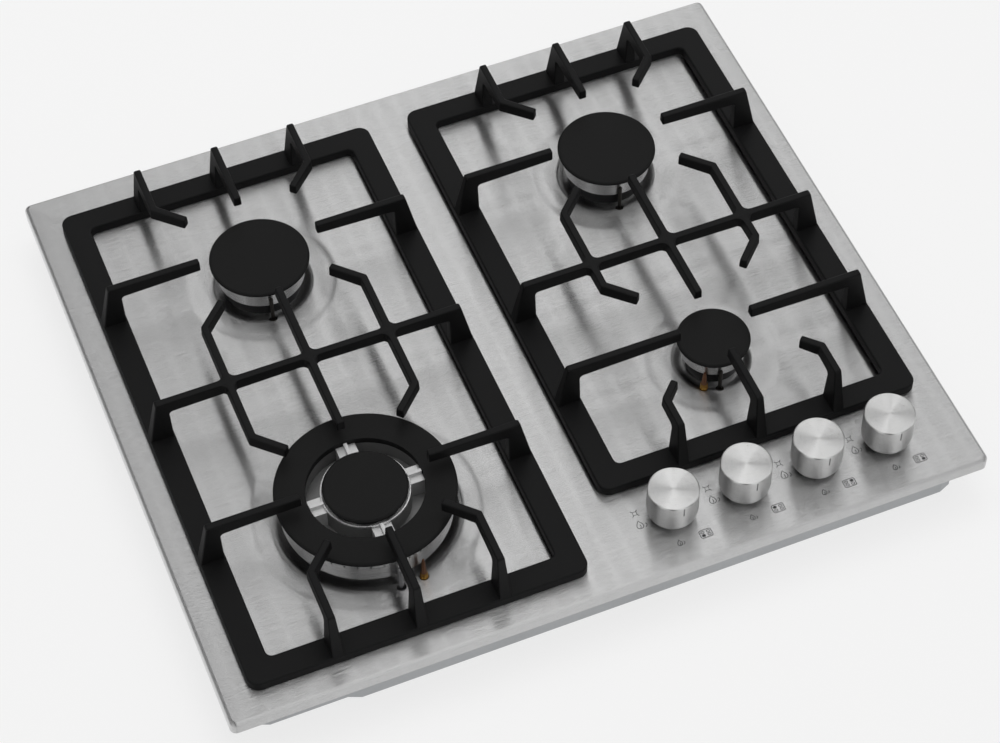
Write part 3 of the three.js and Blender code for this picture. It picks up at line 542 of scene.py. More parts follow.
# the radius of each dish, of its well and of the burner's neck, and the depth, in millimetres
dishes = {
    "rear_left": (59, 37.5, 24, 4.2), "rear_right": (59, 37.5, 24, 4.2),
    "front_left": (86, 69, 46, 4.4), "front_right": (51, 29, 16, 4.2),
}


def level(bm, z, test=lambda place: True):
    """Edges of the bmesh that lie at one height and pass a test on their ends' places."""
    return [
        edge for edge in bm.edges
        if all(abs(v.co.z - z) < 1e-6 and test(v.co) for v in edge.verts)
    ]


def box_of(low, high):
    bm = bmesh.new()
    bmesh.ops.create_cube(bm, size=1)
    bmesh.ops.scale(bm, verts=bm.verts, vec=high - low)
    bmesh.ops.translate(bm, verts=bm.verts, vec=(low + high) / 2)
    return bm


def rounded(bm, edges, offset, segments):
    bmesh.ops.bevel(
        bm, geom=edges, offset=offset, segments=segments, profile=0.5, affect="EDGES", material=-1,
    )


def verts_of(parts):
    return [part for part in parts if isinstance(part, bmesh.types.BMVert)]


def plate_edge(bm):
    bottom = [face for face in bm.faces if face.normal.z < -0.5]
    bmesh.ops.delete(bm, geom=bottom, context="FACES_ONLY")
    rounded(bm, [e for e in bm.edges if e.verts[0].co.z != e.verts[1].co.z], corner_radius, 6)
    rounded(bm, level(bm, plate_top), edge_radius, 5)
    top = max(bm.faces, key=lambda face: face.calc_area())
    bmesh.ops.delete(bm, geom=[top], context="FACES_ONLY")
    lower = level(bm, plate_low.z)
    lip = verts_of(bmesh.ops.extrude_edge_only(bm, edges=lower)["geom"])
    inner = plate_high - Vector((lip_width, lip_width, 0))
    for vert in lip:
        vert.co.x = max(-inner.x, min(inner.x, vert.co.x))
        vert.co.y = max(-inner.y, min(inner.y, vert.co.y))
    bmesh.ops.remove_doubles(bm, verts=bm.verts, dist=1e-6)


def ring_test(x, y, radius):
    return lambda place: abs(math.hypot(place.x - x, place.y - y) - radius) < 1e-5


def hole(bm, x, y, z, radius, segments=24):
    matrix = Matrix.Translation((x, y, z))
    bmesh.ops.create_circle(bm, segments=segments, radius=radius, matrix=matrix)
    return level(bm, z, ring_test(x, y, radius))


def punch(bm, x, y, radius, sides=16):
    """A round hole straight down through the sheet: one cut for each side, then the middle goes."""
    corner = Vector((x, y, 0))
    for i in range(sides):
        out = Vector((math.cos(math.tau * i / sides), math.sin(math.tau * i / sides), 0))
        faces = [
            face for face in bm.faces
            if all(min(v.co[k] for v in face.verts) < corner[k] + 1.3 * radius
                   and max(v.co[k] for v in face.verts) > corner[k] - 1.3 * radius for k in (0, 1))
        ]
        parts = {*faces, *(e for f in faces for e in f.edges), *(v for f in faces for v in f.verts)}
        bmesh.ops.bisect_plane(
            bm, geom=list(parts), dist=1e-7, plane_co=corner + out * radius, plane_no=out,
        )
    inside = []
    for face in bm.faces:
        middle = face.calc_center_median()
        if math.hypot(middle.x - x, middle.y - y) < 0.99 * radius:
            inside.append(face)
    bmesh.ops.delete(bm, geom=inside, context="FACES")


def dish(bm, name, steps=128):
    """A short slope, a nearly flat shelf, and a well that the burner stands in."""
    centre = centre_of(f"{name}_crown")
    radius, well, neck, drop = dishes[name]
    section = softened(
        [(radius + 4, 0), (radius, 0), (radius - 5, -0.45), (well, -0.65), (0.84 * well, -drop),
         (neck + hole_gap, -drop)], 3.2, 5,
    )
    verts = [bm.verts.new((centre.x + r * mm, centre.y, plate_top + z * mm)) for r, z in section]
    edges = [bm.edges.new(pair) for pair in zip(verts, verts[1:])]
    bmesh.ops.spin(
        bm, geom=verts + edges, cent=(centre.x, centre.y, 0), axis=(0, 0, 1), angle=math.tau,
        steps=steps, use_merge=True,
    )
    for piece in ("spark_electrode", "thermocouple"):
        place = centre_of(f"{name}_{piece}")
        punch(bm, place.x, place.y, piece_hole * mm)
    return level(bm, plate_top, ring_test(centre.x, centre.y, (radius + 4) * mm))


def map_flat(bm):
    """A map seen from above, sheared a little so that the upright rim has room on it too."""
    layer = bm.loops.layers.uv.new("brushed")
    for face in bm.faces:
        for loop in face.loops:
            x, y, z = loop.vert.co
            loop[layer].uv = (x + 0.31 * z, y + z)


def top_plate():
    bm = box_of(plate_low, plate_high)
    plate_edge(bm)
    outer = level(bm, plate_top)
    for name in burners:
        outer += dish(bm, name)
    for number in knob_numbers:
        place = centre_of(f"knob_{number}")
        outer += hole(bm, place.x, place.y, plate_top, spindle_hole * mm)
    bmesh.ops.triangle_fill(bm, use_beauty=True, use_dissolve=False, edges=outer, normal=(0, 0, 1))
    bmesh.ops.recalc_face_normals(bm, faces=bm.faces)
    if max(bm.faces, key=lambda face: face.calc_area()).normal.z < 0:
        bmesh.ops.reverse_faces(bm, faces=bm.faces)
    map_flat(bm)
    piece = finished(
        "plate", bm, brushed_steel, bodies["top_plate"], ["top_plate"],
    )
    skin = piece.modifiers.new("thickness", "SOLIDIFY")
    skin.thickness = sheet
    skin.offset = -1
    skin.use_even_offset = True
    piece.modifiers.move(1, 0)
    return piece


plate = top_plate()
print("plate faces", len(plate.data.polygons))

# %% [markdown]
# ## The pan supports
# Each support is one iron casting: a flat frame with posts, and fingers that reach from the posts
# towards the burners. A foundry gives every flank a little draft so that the casting leaves its
# mould, and no edge is sharp. Each finger starts here as its side outline, is extruded to its
# thickness, drafted, bent where it turns, and bevelled. At the end all of them are united.

# %% The side outlines of the fingers
support_low, support_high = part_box("left_pan_support")
finger_top = (support_high.z - plate_top) / mm
frame_base = (support_low.z - plate_top) / mm
frame_top = frame_base + 7.7
frame_bar = 19.5
top_width = 5.6
draft = 0.05
finger_depth, tip_depth, web_depth = 11.0, 9.0, 9.3
post_lean, post_width = 8.5, 18.3
finger_rounding, bend_rounding = 1.1, 4.6
outer_corner, inner_corner, rim_rounding = 9, 5, 1.4


def arc(across, up, radius, start, end, steps):
    angles = [math.radians(start + (end - start) * i / steps) for i in range(steps + 1)]
    return [(across + radius * math.cos(a), up + radius * math.sin(a)) for a in angles]


def post_outline(length):
    """A finger with its post, from the outer side of the frame inwards."""
    under = finger_top - finger_depth
    return [
        (0.4, frame_base + 1), (0.4, frame_top - 1), (post_lean, finger_top - 1),
        (post_lean + 1, finger_top), (length, finger_top), (length, finger_top - tip_depth),
        *arc(post_width + 3, under - 3, 3, 90, 180, 4), (frame_bar - 0.8, frame_base + 1),
    ]


def bar_outline(length):
    return [
        (0, finger_top - finger_depth), (length, finger_top - tip_depth),
        (length, finger_top), (0, finger_top),
    ]


print("finger", round(finger_top, 1), "above the plate; frame from", round(frame_base, 1))

# %% From an outline to a bent, bevelled finger
def steep(bm, degrees):
    limit = math.radians(degrees)
    return [e for e in bm.edges if len(e.link_faces) == 2 and e.calc_face_angle(0) > limit]


def bend(bm, at, turn):
    """Turns what lies beyond a cross cut about that cut, and mitres the cut itself."""
    bmesh.ops.bisect_plane(
        bm, geom=[*bm.verts, *bm.edges, *bm.faces], plane_co=(at, 0, 0), plane_no=(1, 0, 0),
    )
    swing = Matrix.Rotation(turn, 3, "Z")
    pivot = Vector((at, 0, 0))
    cut_edges = []
    for vert in bm.verts:
        if abs(vert.co.x - at) < 1e-4:
            vert.co.x = at - vert.co.y * math.tan(turn / 2)
            cut_edges += [e for e in vert.link_edges if abs(e.other_vert(vert).co.y - vert.co.y) < 1.5]
        elif vert.co.x > at:
            vert.co = pivot + swing @ (vert.co - pivot)
    corner = [
        e for e in set(cut_edges)
        if abs(e.verts[0].co.z - e.verts[1].co.z) > 5 and len(e.link_faces) == 2
        and e.calc_face_angle(0) > math.radians(20)
    ]
    rounded(bm, corner, bend_rounding, 5)


def slab(outline, along):
    """A closed bmesh from a flat outline that is carried along a vector."""
    bm = bmesh.new()
    face = bm.faces.new([bm.verts.new(point) for point in outline])
    far = bmesh.ops.extrude_face_region(bm, geom=[face])["geom"]
    bmesh.ops.translate(bm, verts=verts_of(far), vec=along)
    bmesh.ops.recalc_face_normals(bm, faces=bm.faces)
    return bm


def finger(outline, x, y, degrees, bend_at=None, turn=45):
    """A finger in millimetres from the middle of the plate, set at x, y and turned in plan."""
    bm = slab([(along, -1, up) for along, up in outline], (0, 2, 0))
    for vert in bm.verts:
        vert.co.y *= top_width / 2 + (finger_top - vert.co.z) * draft
    if bend_at is not None:
        bend(bm, bend_at, math.radians(turn))
    rounded(bm, steep(bm, 25), finger_rounding, 2)
    place = Matrix.Translation((x, y, 0)) @ Matrix.Rotation(math.radians(degrees), 4, "Z")
    bmesh.ops.transform(bm, matrix=place, verts=bm.verts)
    return bm


sample = finger(post_outline(80), 0, 0, 0)
print("a finger has", len(sample.faces), "faces")
sample.free()

# %% The frame under the fingers
def support_frame(low, high):
    """A flat ring of bar, low and high being its corners in millimetres."""
    bm = box_of(low, high)
    for side in (1, -1):
        face = max(bm.faces, key=lambda f: f.normal.z * side)
        bmesh.ops.inset_region(bm, faces=[face], thickness=frame_bar, use_even_offset=True)
        bmesh.ops.delete(bm, geom=[face], context="FACES_ONLY")
    inner = [edge for edge in bm.edges if len(edge.link_faces) == 1]
    bmesh.ops.bridge_loops(bm, edges=inner)
    bmesh.ops.recalc_face_normals(bm, faces=bm.faces)
    upright = [e for e in bm.edges if abs(e.verts[0].co.z - e.verts[1].co.z) > 1]
    outside = [
        e for e in upright
        if min(abs(e.verts[0].co.x - low.x), abs(e.verts[0].co.x - high.x)) < 1e-3
    ]
    inside = [e for e in upright if e not in outside]
    rounded(bm, outside, outer_corner, 6)
    rounded(bm, [e for e in inside if e.is_valid], inner_corner, 5)
    rims = [e for e in steep(bm, 60) if abs(e.verts[0].co.z - e.verts[1].co.z) < 1e-3]
    rounded(bm, [e for e in rims if e.verts[0].co.z > (low.z + high.z) / 2], rim_rounding, 3)
    return bm


def united(parts):
    """One closed bmesh from closed ones that reach into each other."""
    together = bpy.data.collections.new("parts")
    made = []
    for bm in parts:
        mesh = bpy.data.meshes.new("part")
        bm.to_mesh(mesh)
        bm.free()
        made.append(bpy.data.objects.new("part", mesh))
    base = made[0]
    bpy.context.scene.collection.objects.link(base)
    for other in made[1:]:
        together.objects.link(other)
    union = base.modifiers.new("union", "BOOLEAN")
    union.operation = "UNION"
    union.operand_type = "COLLECTION"
    union.collection = together
    union.solver = "EXACT"
    result = bmesh.new()
    result.from_object(base, bpy.context.evaluated_depsgraph_get())
    for each in made:
        mesh = each.data
        bpy.data.objects.remove(each)
        bpy.data.meshes.remove(mesh)
    bpy.data.collections.remove(together)
    return result


def web(x, y, radius=5.5):
    """A plate with four hollow corners, which rounds off the corners where two fingers cross."""
    half, under = top_width / 2 - 0.3, finger_top - 0.3 - web_depth
    quarter = arc(half + radius, half + radius, radius, 180, 270, 6)
    outline = []
    for turn in (0, 90, 180, 270):
        swing = Matrix.Rotation(math.radians(turn), 2)
        outline += [tuple(swing @ Vector(point)) for point in reversed(quarter)]
    return slab([(x + px, y + py, under) for px, py in outline], (0, 0, web_depth))


print("frame and union ready")

# %% Both supports
crossbar = -6.75
finger_pitch = 63.0
rear_reach = 47.0
bend_out = 62.5
diagonal_tip = 42.7


def support(side, near_reach, corner_bend, corner_tip):
    """One support: near_reach is how far its front fingers stay from the front burner's axis."""
    name = f"{side}_pan_support"
    low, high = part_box(name)
    low, high = low / mm, high / mm
    middle = (low.x + high.x) / 2
    rear = centre_of(f"rear_{side}_crown").y / mm
    near = centre_of(f"front_{side}_crown").y / mm
    base = Vector((low.x, low.y, frame_base))
    parts = [support_frame(base, Vector((high.x, high.y, frame_top)))]
    for y, reach in ((rear, rear_reach), (crossbar, -0.5), (near, near_reach)):
        length = middle - low.x - reach
        parts += [
            finger(post_outline(length), low.x, y, 0), finger(post_outline(length), high.x, y, 180),
        ]
    parts += [
        finger(post_outline(high.y - rear - rear_reach), middle, high.y, -90),
        finger(post_outline(near - near_reach - low.y), middle, low.y, 90),
        finger(bar_outline(rear - rear_reach - crossbar), middle, crossbar, 90),
        finger(bar_outline(crossbar - near - near_reach), middle, crossbar, -90),
    ]
    parts += [web(middle + aside, crossbar) for aside in (-finger_pitch, 0, finger_pitch)]
    diagonal = (bend_out - diagonal_tip) * math.sqrt(2)
    for hand in (-1, 1):
        line = middle + hand * finger_pitch
        straight = high.y - rear - bend_out
        parts += [
            finger(post_outline(straight + diagonal), line, high.y, -90, straight, -45 * hand),
            finger(bar_outline(rear - bend_out - crossbar + diagonal), line, crossbar, 90,
                   rear - bend_out - crossbar, 45 * hand),
            finger(bar_outline(crossbar - near - bend_out + diagonal), line, crossbar, -90,
                   crossbar - near - bend_out, -45 * hand),
        ]
        straight = near - corner_bend - low.y
        parts.append(
            finger(post_outline(straight + corner_tip * math.sqrt(2)), line, low.y, 90, straight,
                   45 * hand),
        )
    bm = united(parts)
    bmesh.ops.scale(bm, verts=bm.verts, vec=(mm, mm, mm))
    bmesh.ops.translate(bm, verts=bm.verts, vec=(0, 0, plate_top))
    return finished(f"{side}_support", bm, iron_enamel, bodies[name], [name], sharp=50)


left_support = support("left", 48.5, bend_out, bend_out - diagonal_tip)
right_support = support("right", 28.6, 52.0, 12.0)
print("supports with", len(left_support.data.polygons), "and", len(right_support.data.polygons), "faces")

# %% The feet under the supports
def rubber_foot(node):
    radius, base, top = turned_box(node)
    shoulder, stud = base + 1.7, 2.2
    bm = spun(
        [(0, base), (radius, base), (radius, shoulder), (stud, shoulder), (stud, top), (0, top)],
        steps=32, radius=0.5,
    )
    stand_at(bm, node)
    return finished(f"{node}_pad", bm, rubber, bodies[node], [node])


feet = [rubber_foot(node) for node in sorted(frame["nodes"]) if "_support_foot_" in node]
print(len(feet), "feet")

# %% [markdown]
# ## The burners
# A burner has four parts on top of each other: a dark cup that stands in the dish, a turned
# aluminium crown, a mixing tube below it, and an enamelled cap. The plain crowns show a smooth band
# under their caps.

# %% Cups
seat_gap, cap_rim = 0.3, 2.5


def turned_piece(name, node, section, material, steps=96, radius=0.4, closed=False):
    bm = spun(section, steps=steps, radius=radius, closed=closed)
    map_round(bm)
    stand_at(bm, node)
    return finished(name, bm, material, bodies[node], [node])


def burner_cup(name):
    node = f"{name}_burner_cup"
    radius, low, top = turned_box(node)
    _, _, neck, drop = dishes[name]
    seat, throat = seat_gap - drop, neck / 2 + 3
    section = [
        (0, low), (throat, low), (throat, -20), (neck, -15), (neck, seat), (radius - 1.5, seat),
        (radius, seat + 1.5), (radius, top), (radius - 2.5, top), (radius - 2.5, -3), (0, -3),
    ]
    return turned_piece(f"{name}_cup", node, section, dark_cup_and_slot_shade, radius=0.5)


cups = [burner_cup(name) for name in burners]
print(len(cups), "cups")

# %% Plain crowns
def plain_crown(name, tube):
    node = f"{name}_crown"
    radius, low, top = turned_box(node)
    band = radius - 0.5
    cup_radius, _, cup_top = turned_box(f"{name}_burner_cup")
    seat, lip = cup_top + seat_gap, cup_radius - 2.8
    section = [
        (band, seat), (band + 0.5, top), (band - 3, top), (band - 3, seat + 3), (tube - 2, seat + 1),
        (tube - 2, low), (tube, low), (tube, seat - 2), (lip, seat - 2), (lip, seat),
    ]
    return turned_piece(
        f"{name}_burner_crown", node, section, turned_aluminium, steps=144,
        radius=0.3, closed=True,
    )


crowns = [
    plain_crown("rear_left", 12.5), plain_crown("rear_right", 12.5), plain_crown("front_right", 9),
]
print(len(crowns), "plain crowns")

# %% [markdown]
# ## The double crown at the front left
# This burner burns in two rings. The outer ring is a trough under a flat ring cap, the inner one
# has a wall with small ports below its rim, and four bridges lead the flame across. The walls are
# spun, and each bridge is a bevelled block with a thin rib on its back. A port is made from the
# spin's own faces: one face is pushed inwards, which leaves a slot with walls, as a saw leaves one.
# The end of each slot is near black as painted shade. The faces inside the crown below its rims
# are a darker grey, partly for the rough unturned casting and partly as painted shade.

# %% Flame ports and bridges
def wall_faces(bm, near, far, low, high, angles, width, tilt):
    """Outward faces between two radii and two heights, at some angles, tilted no more than tilt."""
    chosen = []
    for face in bm.faces:
        middle = face.calc_center_median()
        out = Vector((middle.x, middle.y, 0))
        outward = abs(face.normal.z) < tilt and face.normal.dot(out) > 0
        if outward and low < middle.z / mm < high and near < out.length / mm < far:
            here = math.degrees(math.atan2(out.y, out.x))
            if any(abs((here - angle + 180) % 360 - 180) < width for angle in angles):
                chosen.append(face)
    return chosen


def ports(bm, radius, low, high, angles, depth):
    """Pushes wall faces in towards the axis. The end of each gets material number 2, a dark one, as
    painted shade in the slot.
    """
    chosen = wall_faces(bm, radius - 0.8, radius + 0.8, low, high, angles, 0.3, 0.3)
    for face in bmesh.ops.extrude_discrete_faces(bm, faces=chosen)["faces"]:
        middle = face.calc_center_median()
        inward = Vector((-middle.x, -middle.y, 0)).normalized() * depth * mm
        bmesh.ops.translate(bm, verts=face.verts, vec=inward)
        face.material_index = 2


def bevelled_block(low, high, degrees, offset=0.5):
    bm = box_of(Vector(low), Vector(high))
    rounded(bm, list(bm.edges), offset, 2)
    swing = Matrix.Rotation(math.radians(degrees), 3, "Z")
    bmesh.ops.rotate(bm, verts=bm.verts, cent=(0, 0, 0), matrix=swing)
    return bm


def merged(parts):
    """Several closed bmeshes as the shells of one piece."""
    whole = bmesh.new()
    for bm in parts:
        mesh = bpy.data.meshes.new("shell")
        bm.to_mesh(mesh)
        bm.free()
        whole.from_mesh(mesh)
        bpy.data.meshes.remove(mesh)
    return whole


print("a bridge starts as a block of", len(bevelled_block((0, 0, 0), (9, 9, 9), 0).faces), "faces")

# %% The double crown
def double_crown():
    name = "front_left"
    node = f"{name}_crown"
    cup_radius, _, cup_top = turned_box(f"{name}_burner_cup")
    radius, low, _ = turned_box(node)
    top, inner_top = (
        turned_box(f"{name}_{piece}")[1] + cap_rim - seat_gap for piece in ("ring_cap", "cap")
    )
    band, seat, lip = radius - 0.5, cup_top + seat_gap, cup_radius - 2.8
    trough, inner, tube = 44.5, 33.0, 13.0
    bridge_end, bridge_half, rib_half = 43.2, 7.5, 1.5
    port_count = 42
    outer_steps, middle_steps = 8 * port_count, 144
    outer = spun(
        [(band, seat), (band + 0.4, top - 2.6), (band + 0.5, top), (band - 2.5, top),
         (band - 2.5, seat + 3), (trough + 2.5, seat + 3), (trough + 2.5, top), (trough, top),
         (trough, seat - 2), (lip, seat - 2), (lip, seat)],
        start=math.pi / outer_steps, steps=outer_steps, radius=0.3, closed=True,
    )
    middle = spun(
        [(trough - 0.2, seat), (trough - 0.2, seat + 4), (inner, seat + 4), (inner, inner_top - 1.8),
         (inner, inner_top - 0.4), (inner, inner_top + 1.5),
         (inner - 1.3, inner_top + 1.5), (inner - 1.4, inner_top), (inner - 4, inner_top),
         (inner - 4, seat + 4), (tube - 2, seat + 2), (tube - 2, low), (tube, low), (tube, seat)],
        start=math.pi / middle_steps, steps=middle_steps, radius=0.25, closed=True,
    )
    # Faces deep inside and below the rims take material 1, a darker grey: partly the rough unturned
    # casting, partly painted shade.
    for whole, limit in ((outer, band - 2), (middle, inner + 9)):
        for face in whole.faces:
            place = face.calc_center_median() / mm
            deep = math.hypot(place.x, place.y) < limit and place.z < inner_top - 0.2
            face.material_index = int(deep)
    slots = [(i + 0.5) * 360 / port_count for i in range(port_count)]
    ports(outer, band + 0.45, top - 2.5, top - 0.3, slots, 1.8)
    quarters = (0, 90, 180, 270)
    ports(
        middle, inner, inner_top - 1.7, inner_top - 0.5,
        [quarter + aside for quarter in quarters for aside in (22.5, 37.5, 52.5, 67.5)], 2.2,
    )
    bridges = []
    for turn in quarters:
        bridges += [
            bevelled_block((inner - 1, -half, base), (bridge_end, half, height), turn)
            for half, base, height in (
                (bridge_half, seat + 1, inner_top - 0.5), (rib_half, seat + 2, inner_top + 2.6),
            )
        ]
    walls = merged([outer, middle])
    map_round(walls)
    blocks = merged(bridges)
    bmesh.ops.scale(blocks, verts=blocks.verts, vec=(mm, mm, mm))
    stand_at(walls, node)
    stand_at(blocks, node)
    body = bodies[node]
    crown = finished(
        f"{name}_burner_crown", walls, [turned_aluminium, dull_grey_and_crown_shade, dark_cup_and_slot_shade], body,
        [node],
    )
    bridge = finished(f"{name}_gas_bridges", blocks, cast_aluminium, body)
    return crown, bridge


wok_crown, wok_bridges = double_crown()
print("faces of crown", len(wok_crown.data.polygons), "and bridges", len(wok_bridges.data.polygons))

# %% Caps
def cap(node):
    radius, low, top = turned_box(node)
    under = low + cap_rim
    ring = (turned_box(node.replace("_cap", "_crown"))[0] - 3.8) if "front_left" not in node else 28.7
    section = [
        (0, top), (radius - 1.5, top), (radius, top - 1.2), (radius, top - 2.0),
        (radius - 1.6, top - 3.2), (ring + 1, under), (ring, under), (ring, low), (ring - 2.5, low),
        (ring - 2.5, under + 0.5), (0, under + 0.5),
    ]
    return turned_piece(f"{node}_disc", node, section, cap_enamel, radius=1.1)


def ring_cap():
    node = "front_left_ring_cap"
    radius, low, top = turned_box(node)
    under, inner, ring = low + cap_rim, 43.5, 60.7
    section = [
        (inner, top), (radius - 1.5, top), (radius, top - 1.2), (radius, top - 2.4), (ring, under),
        (ring, low), (ring - 2.5, low), (ring - 2.5, under), (inner, under),
    ]
    return turned_piece(
        f"{node}_disc", node, section, cap_enamel, steps=128, radius=1.1, closed=True,
    )


caps = [*[cap(f"{name}_cap") for name in burners], ring_cap()]
print(len(caps), "caps")

# %% [markdown]
# ## Spark electrodes and thermocouples
# Beside each burner stand two thin pieces. The spark electrode has a brass collar and a coppery
# tip that thins towards the cap. The thermocouple is a plain steel rod, darkened by heat on all
# burners but the front left one, with a collar that seats in the plate. Both are turned. The
# electrode has three materials, and its faces take theirs by height.

# %% The thin pieces beside the burners
def by_height(bm, limits):
    """Gives each face the material number of the first limit that it lies below."""
    for face in bm.faces:
        z = face.calc_center_median().z / mm
        face.material_index = sum(z > limit for limit in limits)


def electrode(name):
    node = f"{name}_spark_electrode"
    _, low, top = turned_box(node)
    section = [
        (0, low), (3.1, low), (3.1, -1.5), (3.2, 0.4), (2.5, 0.9), (2.5, 2.0), (2.9, 2.6), (2.9, 4.2),
        (2.4, 5.0), (1.5, top - 5), (0.8, top - 1), (0.35, top), (0, top),
    ]
    bm = spun(section, steps=32, radius=0.4)
    by_height(bm, (-4.0, 5.0))
    stand_at(bm, node)
    return finished(
        f"{name}_electrode", bm, [ceramic, brass, copper], bodies[node], [node],
    )


def thermocouple(name):
    node = f"{name}_thermocouple"
    _, low, top = turned_box(node)
    bright = name == "front_left"
    rod = 2.0 if bright else 1.5
    section = [
        (0, low), (3.2, low), (3.2, -2.6), (rod + 0.6, -2.0), (rod, -1.2), (rod, top - 1.2),
        (rod - 0.9, top), (0, top),
    ]
    return turned_piece(
        f"{name}_flame_probe", node, section, plain_steel if bright else heated_steel,
        steps=32, radius=0.5,
    )


for name in burners:
    electrode(name)
    thermocouple(name)
print("electrodes and thermocouples made")

# %% [markdown]
# ## The knobs
# Each knob is a spun metal cup with a flat top, a thin bright chamfer, and a lower edge that rounds
# in. A short line is engraved down the front of its side, and a small nick in the rim marks twelve
# o'clock. Both are made from single faces of the spin, which starts half a step off the axis so
# that a face lies square to the front. Under each knob lies a rubber seal round its spindle.

# %% The knobs
def engraved(bm, angle, low, high, radius, width, depth, number):
    """Sinks the wall faces at one angle between two heights, and gives them a material."""
    chosen = wall_faces(bm, radius - 1.5, radius + 0.1, low, high, [angle], width, 1)
    inner = bmesh.ops.inset_region(bm, faces=chosen, thickness=0.12 * mm, depth=-depth * mm)["faces"]
    for face in [*chosen, *inner]:
        face.material_index = number


def knob(number):
    node = f"knob_{number}"
    radius, low, top = turned_box(node)
    spindle = turned_box(f"spindle_{number}")[2]
    hollow, stem, bore = radius - 4, 5.8, 3.3
    section = [
        (0, top), (radius - 0.7, top), (radius, top - 0.7), (radius, top - 9.5), (radius, low + 6.6),
        (radius - 0.25, low + 6.2), (radius - 0.25, low + 5.8), (radius - 0.05, low + 5.4),
        (radius - 0.6, low + 2.6), (radius - 2, low), (hollow, low), (hollow, top - 7),
        (stem, top - 7), (stem, low + 3), (bore, low + 3), (bore, spindle + 0.3), (0, spindle + 0.3),
    ]
    steps = 120
    bm = spun(section, steps=steps, start=math.pi / steps, radius=0.35)
    map_round(bm)
    # Faces inside the hollow take material 2, a near black that paints the shade under the knob and
    # darkens its reflection in the plate.
    for face in bm.faces:
        place = face.calc_center_median() / mm
        painted_shade_inside = math.hypot(place.x, place.y) < hollow + 0.5 and place.z < top - 3
        face.material_index = 2 * int(painted_shade_inside)
    engraved(bm, -90, top - 9.4, top - 0.8, radius, 1.0, 0.35, 1)
    engraved(bm, 90, top - 0.75, top - 0.1, radius, 2.0, 0.3, 0)
    stand_at(bm, node)
    return finished(
        f"{node}_cup", bm, [spun_steel, dull_grey_and_crown_shade, dark_moulding_and_knob_shade], bodies[node],
        [node],
    )


def spindle_seal(number):
    """A rubber ring on the plate, inside the hollow of the knob, that keeps spills out."""
    inner, outer, top = 6.2, 13.5, 3.4
    section = [(inner, 0), (outer, 0), (outer, 1), (outer - 2, top), (inner, top)]
    bm = spun(section, radius=0.5, closed=True)
    stand_at(bm, f"knob_{number}")
    return finished(f"knob_{number}_seal", bm, rubber, bodies["top_plate"])


knobs = [knob(number) for number in knob_numbers]
seals = [spindle_seal(number) for number in knob_numbers]
print(len(knobs), "knobs and", len(seals), "seals")

# %% [markdown]
# ## The printed marks
# Round each knob are four small line drawings: a spark, a large flame, a small flame, and a plan of
# the hob with the burner that the knob feeds filled in. They are drawn here as curves with a thin
# round section, turned into meshes, pressed flat, and laid on the plate as a film of ink.

# %% Drawing with lines
ink_width = 0.54
ink_height = 0.03
# the place of each mark from its knob's axis, in millimetres, and its scale
spark_mark, plan_mark = (-24.7, 10.7, 0.85), (16.1, -24.5, 0.85)
large_flame_mark, small_flame_mark = (-25.2, -0.1, 1.0), (-4.8, -25.2, 0.7)


def drawing(lines):
    """A flat mesh from lines, each a list of points in millimetres and whether it is closed."""
    data = bpy.data.curves.new("drawing", "CURVE")
    data.dimensions = "3D"
    data.bevel_depth = ink_width / 2 * mm
    data.bevel_resolution = 1
    data.use_fill_caps = True
    for points, closed in lines:
        spline = data.splines.new("POLY")
        spline.points.add(len(points) - 1)
        for point, (x, y) in zip(spline.points, points):
            point.co = (x * mm, y * mm, 0, 1)
        spline.use_cyclic_u = closed
    curve = bpy.data.objects.new("drawing", data)
    bpy.context.scene.collection.objects.link(curve)
    bm = bmesh.new()
    bm.from_mesh(bpy.data.meshes.new_from_object(
        curve.evaluated_get(bpy.context.evaluated_depsgraph_get())))
    bpy.data.objects.remove(curve)
    bmesh.ops.scale(bm, verts=bm.verts, vec=(1, 1, 2 * ink_height / ink_width))
    return bm


def placed(lines, x, y, size):
    return [([(x + size * px, y + size * py) for px, py in points], closed) for points, closed in lines]


def oval(x, y, across, up, steps=10):
    return [
        (x + across * math.cos(math.tau * i / steps), y + up * math.sin(math.tau * i / steps))
        for i in range(steps)
    ]


def spark_lines():
    """A small hollow square with a tick out from each of its corners."""
    corners = [(1, 1), (-1, 1), (-1, -1), (1, -1)]
    lines = [([(1.7 * x, 1.7 * y) for x, y in corners], True)]
    for x, y in corners:
        lines.append(([(1.8 * x, 1.8 * y), (3.1 * x, 3.1 * y)], False))
    return lines


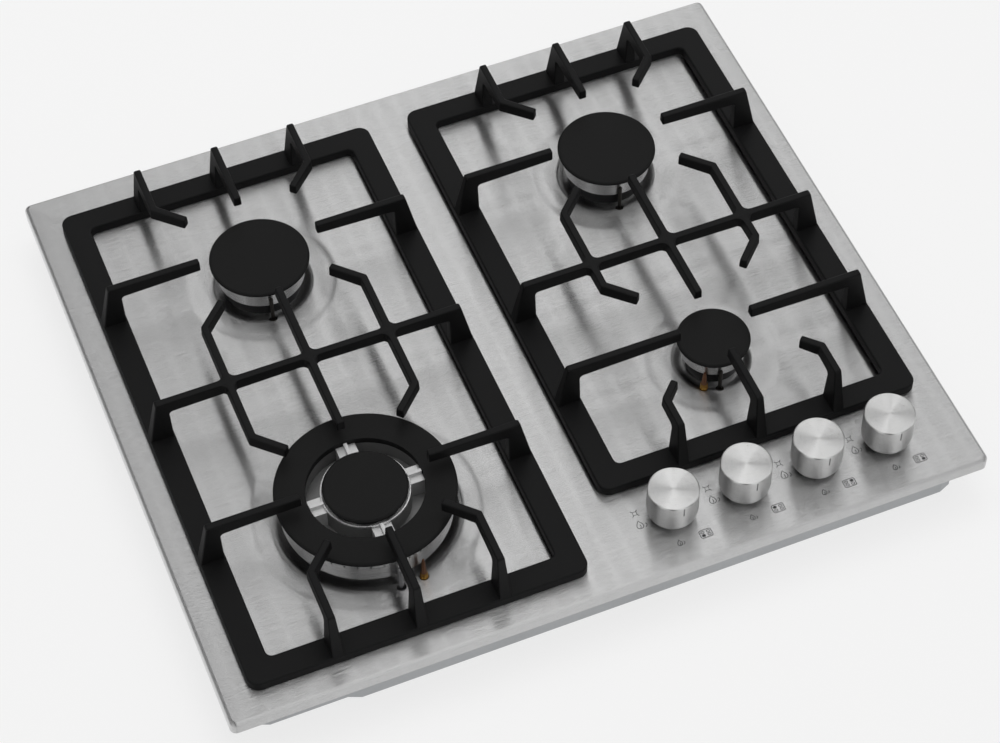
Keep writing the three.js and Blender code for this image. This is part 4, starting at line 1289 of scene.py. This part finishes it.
def flame_lines():
    outline = [
        (0, -2.9), (1.5, -2.6), (2.4, -1.5), (2.5, 0.0), (1.9, 1.4), (0.9, 2.6), (0.3, 4.2),
        (-0.7, 3.0), (-1.6, 1.6), (-2.4, 0.2), (-2.4, -1.4), (-1.5, -2.6),
    ]
    vein = [(-0.2, -2.2), (0.5, -0.9), (0.2, 0.6)]
    turn = [(3.6, -2.8), (5.0, -1.6), (5.2, -0.2), (4.4, 0.6)]
    return [(outline, True), (vein, False), (turn, False)]


def plan_lines(filled):
    """A rounded frame with a ring for each burner. The filled one is drawn as nested rings."""
    half, tall, corner = 5.4, 3.9, 1.4
    frame_line = []
    for cx, cy, start in (
        (half - corner, tall - corner, 0), (corner - half, tall - corner, 90),
        (corner - half, corner - tall, 180), (half - corner, corner - tall, 270),
    ):
        frame_line += arc(cx, cy, corner, start, start + 90, 3)
    lines = [(frame_line, True)]
    for place, (x, y) in enumerate(((-2.6, -1.6), (-2.6, 1.6), (2.6, 1.6), (2.6, -1.6))):
        for scale in ((1, 0.62, 0.25) if place == filled else (1,)):
            lines.append((oval(x, y, 1.5 * scale, 1.1 * scale), True))
    return lines


def marks(number):
    lines = [
        *placed(spark_lines(), *spark_mark), *placed(flame_lines(), *large_flame_mark),
        *placed(flame_lines(), *small_flame_mark), *placed(plan_lines(number - 1), *plan_mark),
    ]
    bm = drawing(lines)
    stand_at(bm, f"knob_{number}", plate_top + ink_height * mm)
    return finished(f"knob_{number}_marks", bm, printed_ink, bodies["top_plate"])


for number in knob_numbers:
    marks(number)
print("marks drawn round", len(knob_numbers), "knobs")

# %% [markdown]
# ## The pieces that stay as the frame has them
# The tray, the valves, the pipes and the spark module are plain shapes that mostly lie hidden. They
# keep their own meshes and only get their finishes, one for each kind of piece.

# %% Finishes for the pieces that stay
kept_finishes = {
    "under_tray": zinc_steel, "rail_bracket": zinc_steel, "manifold_rail": plain_steel,
    "spindle": plain_steel, "valve_plug": brass, "valve_body": brass, "gas_inlet": brass,
    "feed_pipe": aluminium_tube, "ignition_module": dark_moulding_and_knob_shade, "mains_gland": rubber,
}
for node, piece in frame["nodes"].items():
    for start, material in kept_finishes.items():
        if node.startswith(start):
            piece.data.materials.clear()
            piece.data.materials.append(material)
print("finishes given to the nodes that stay")
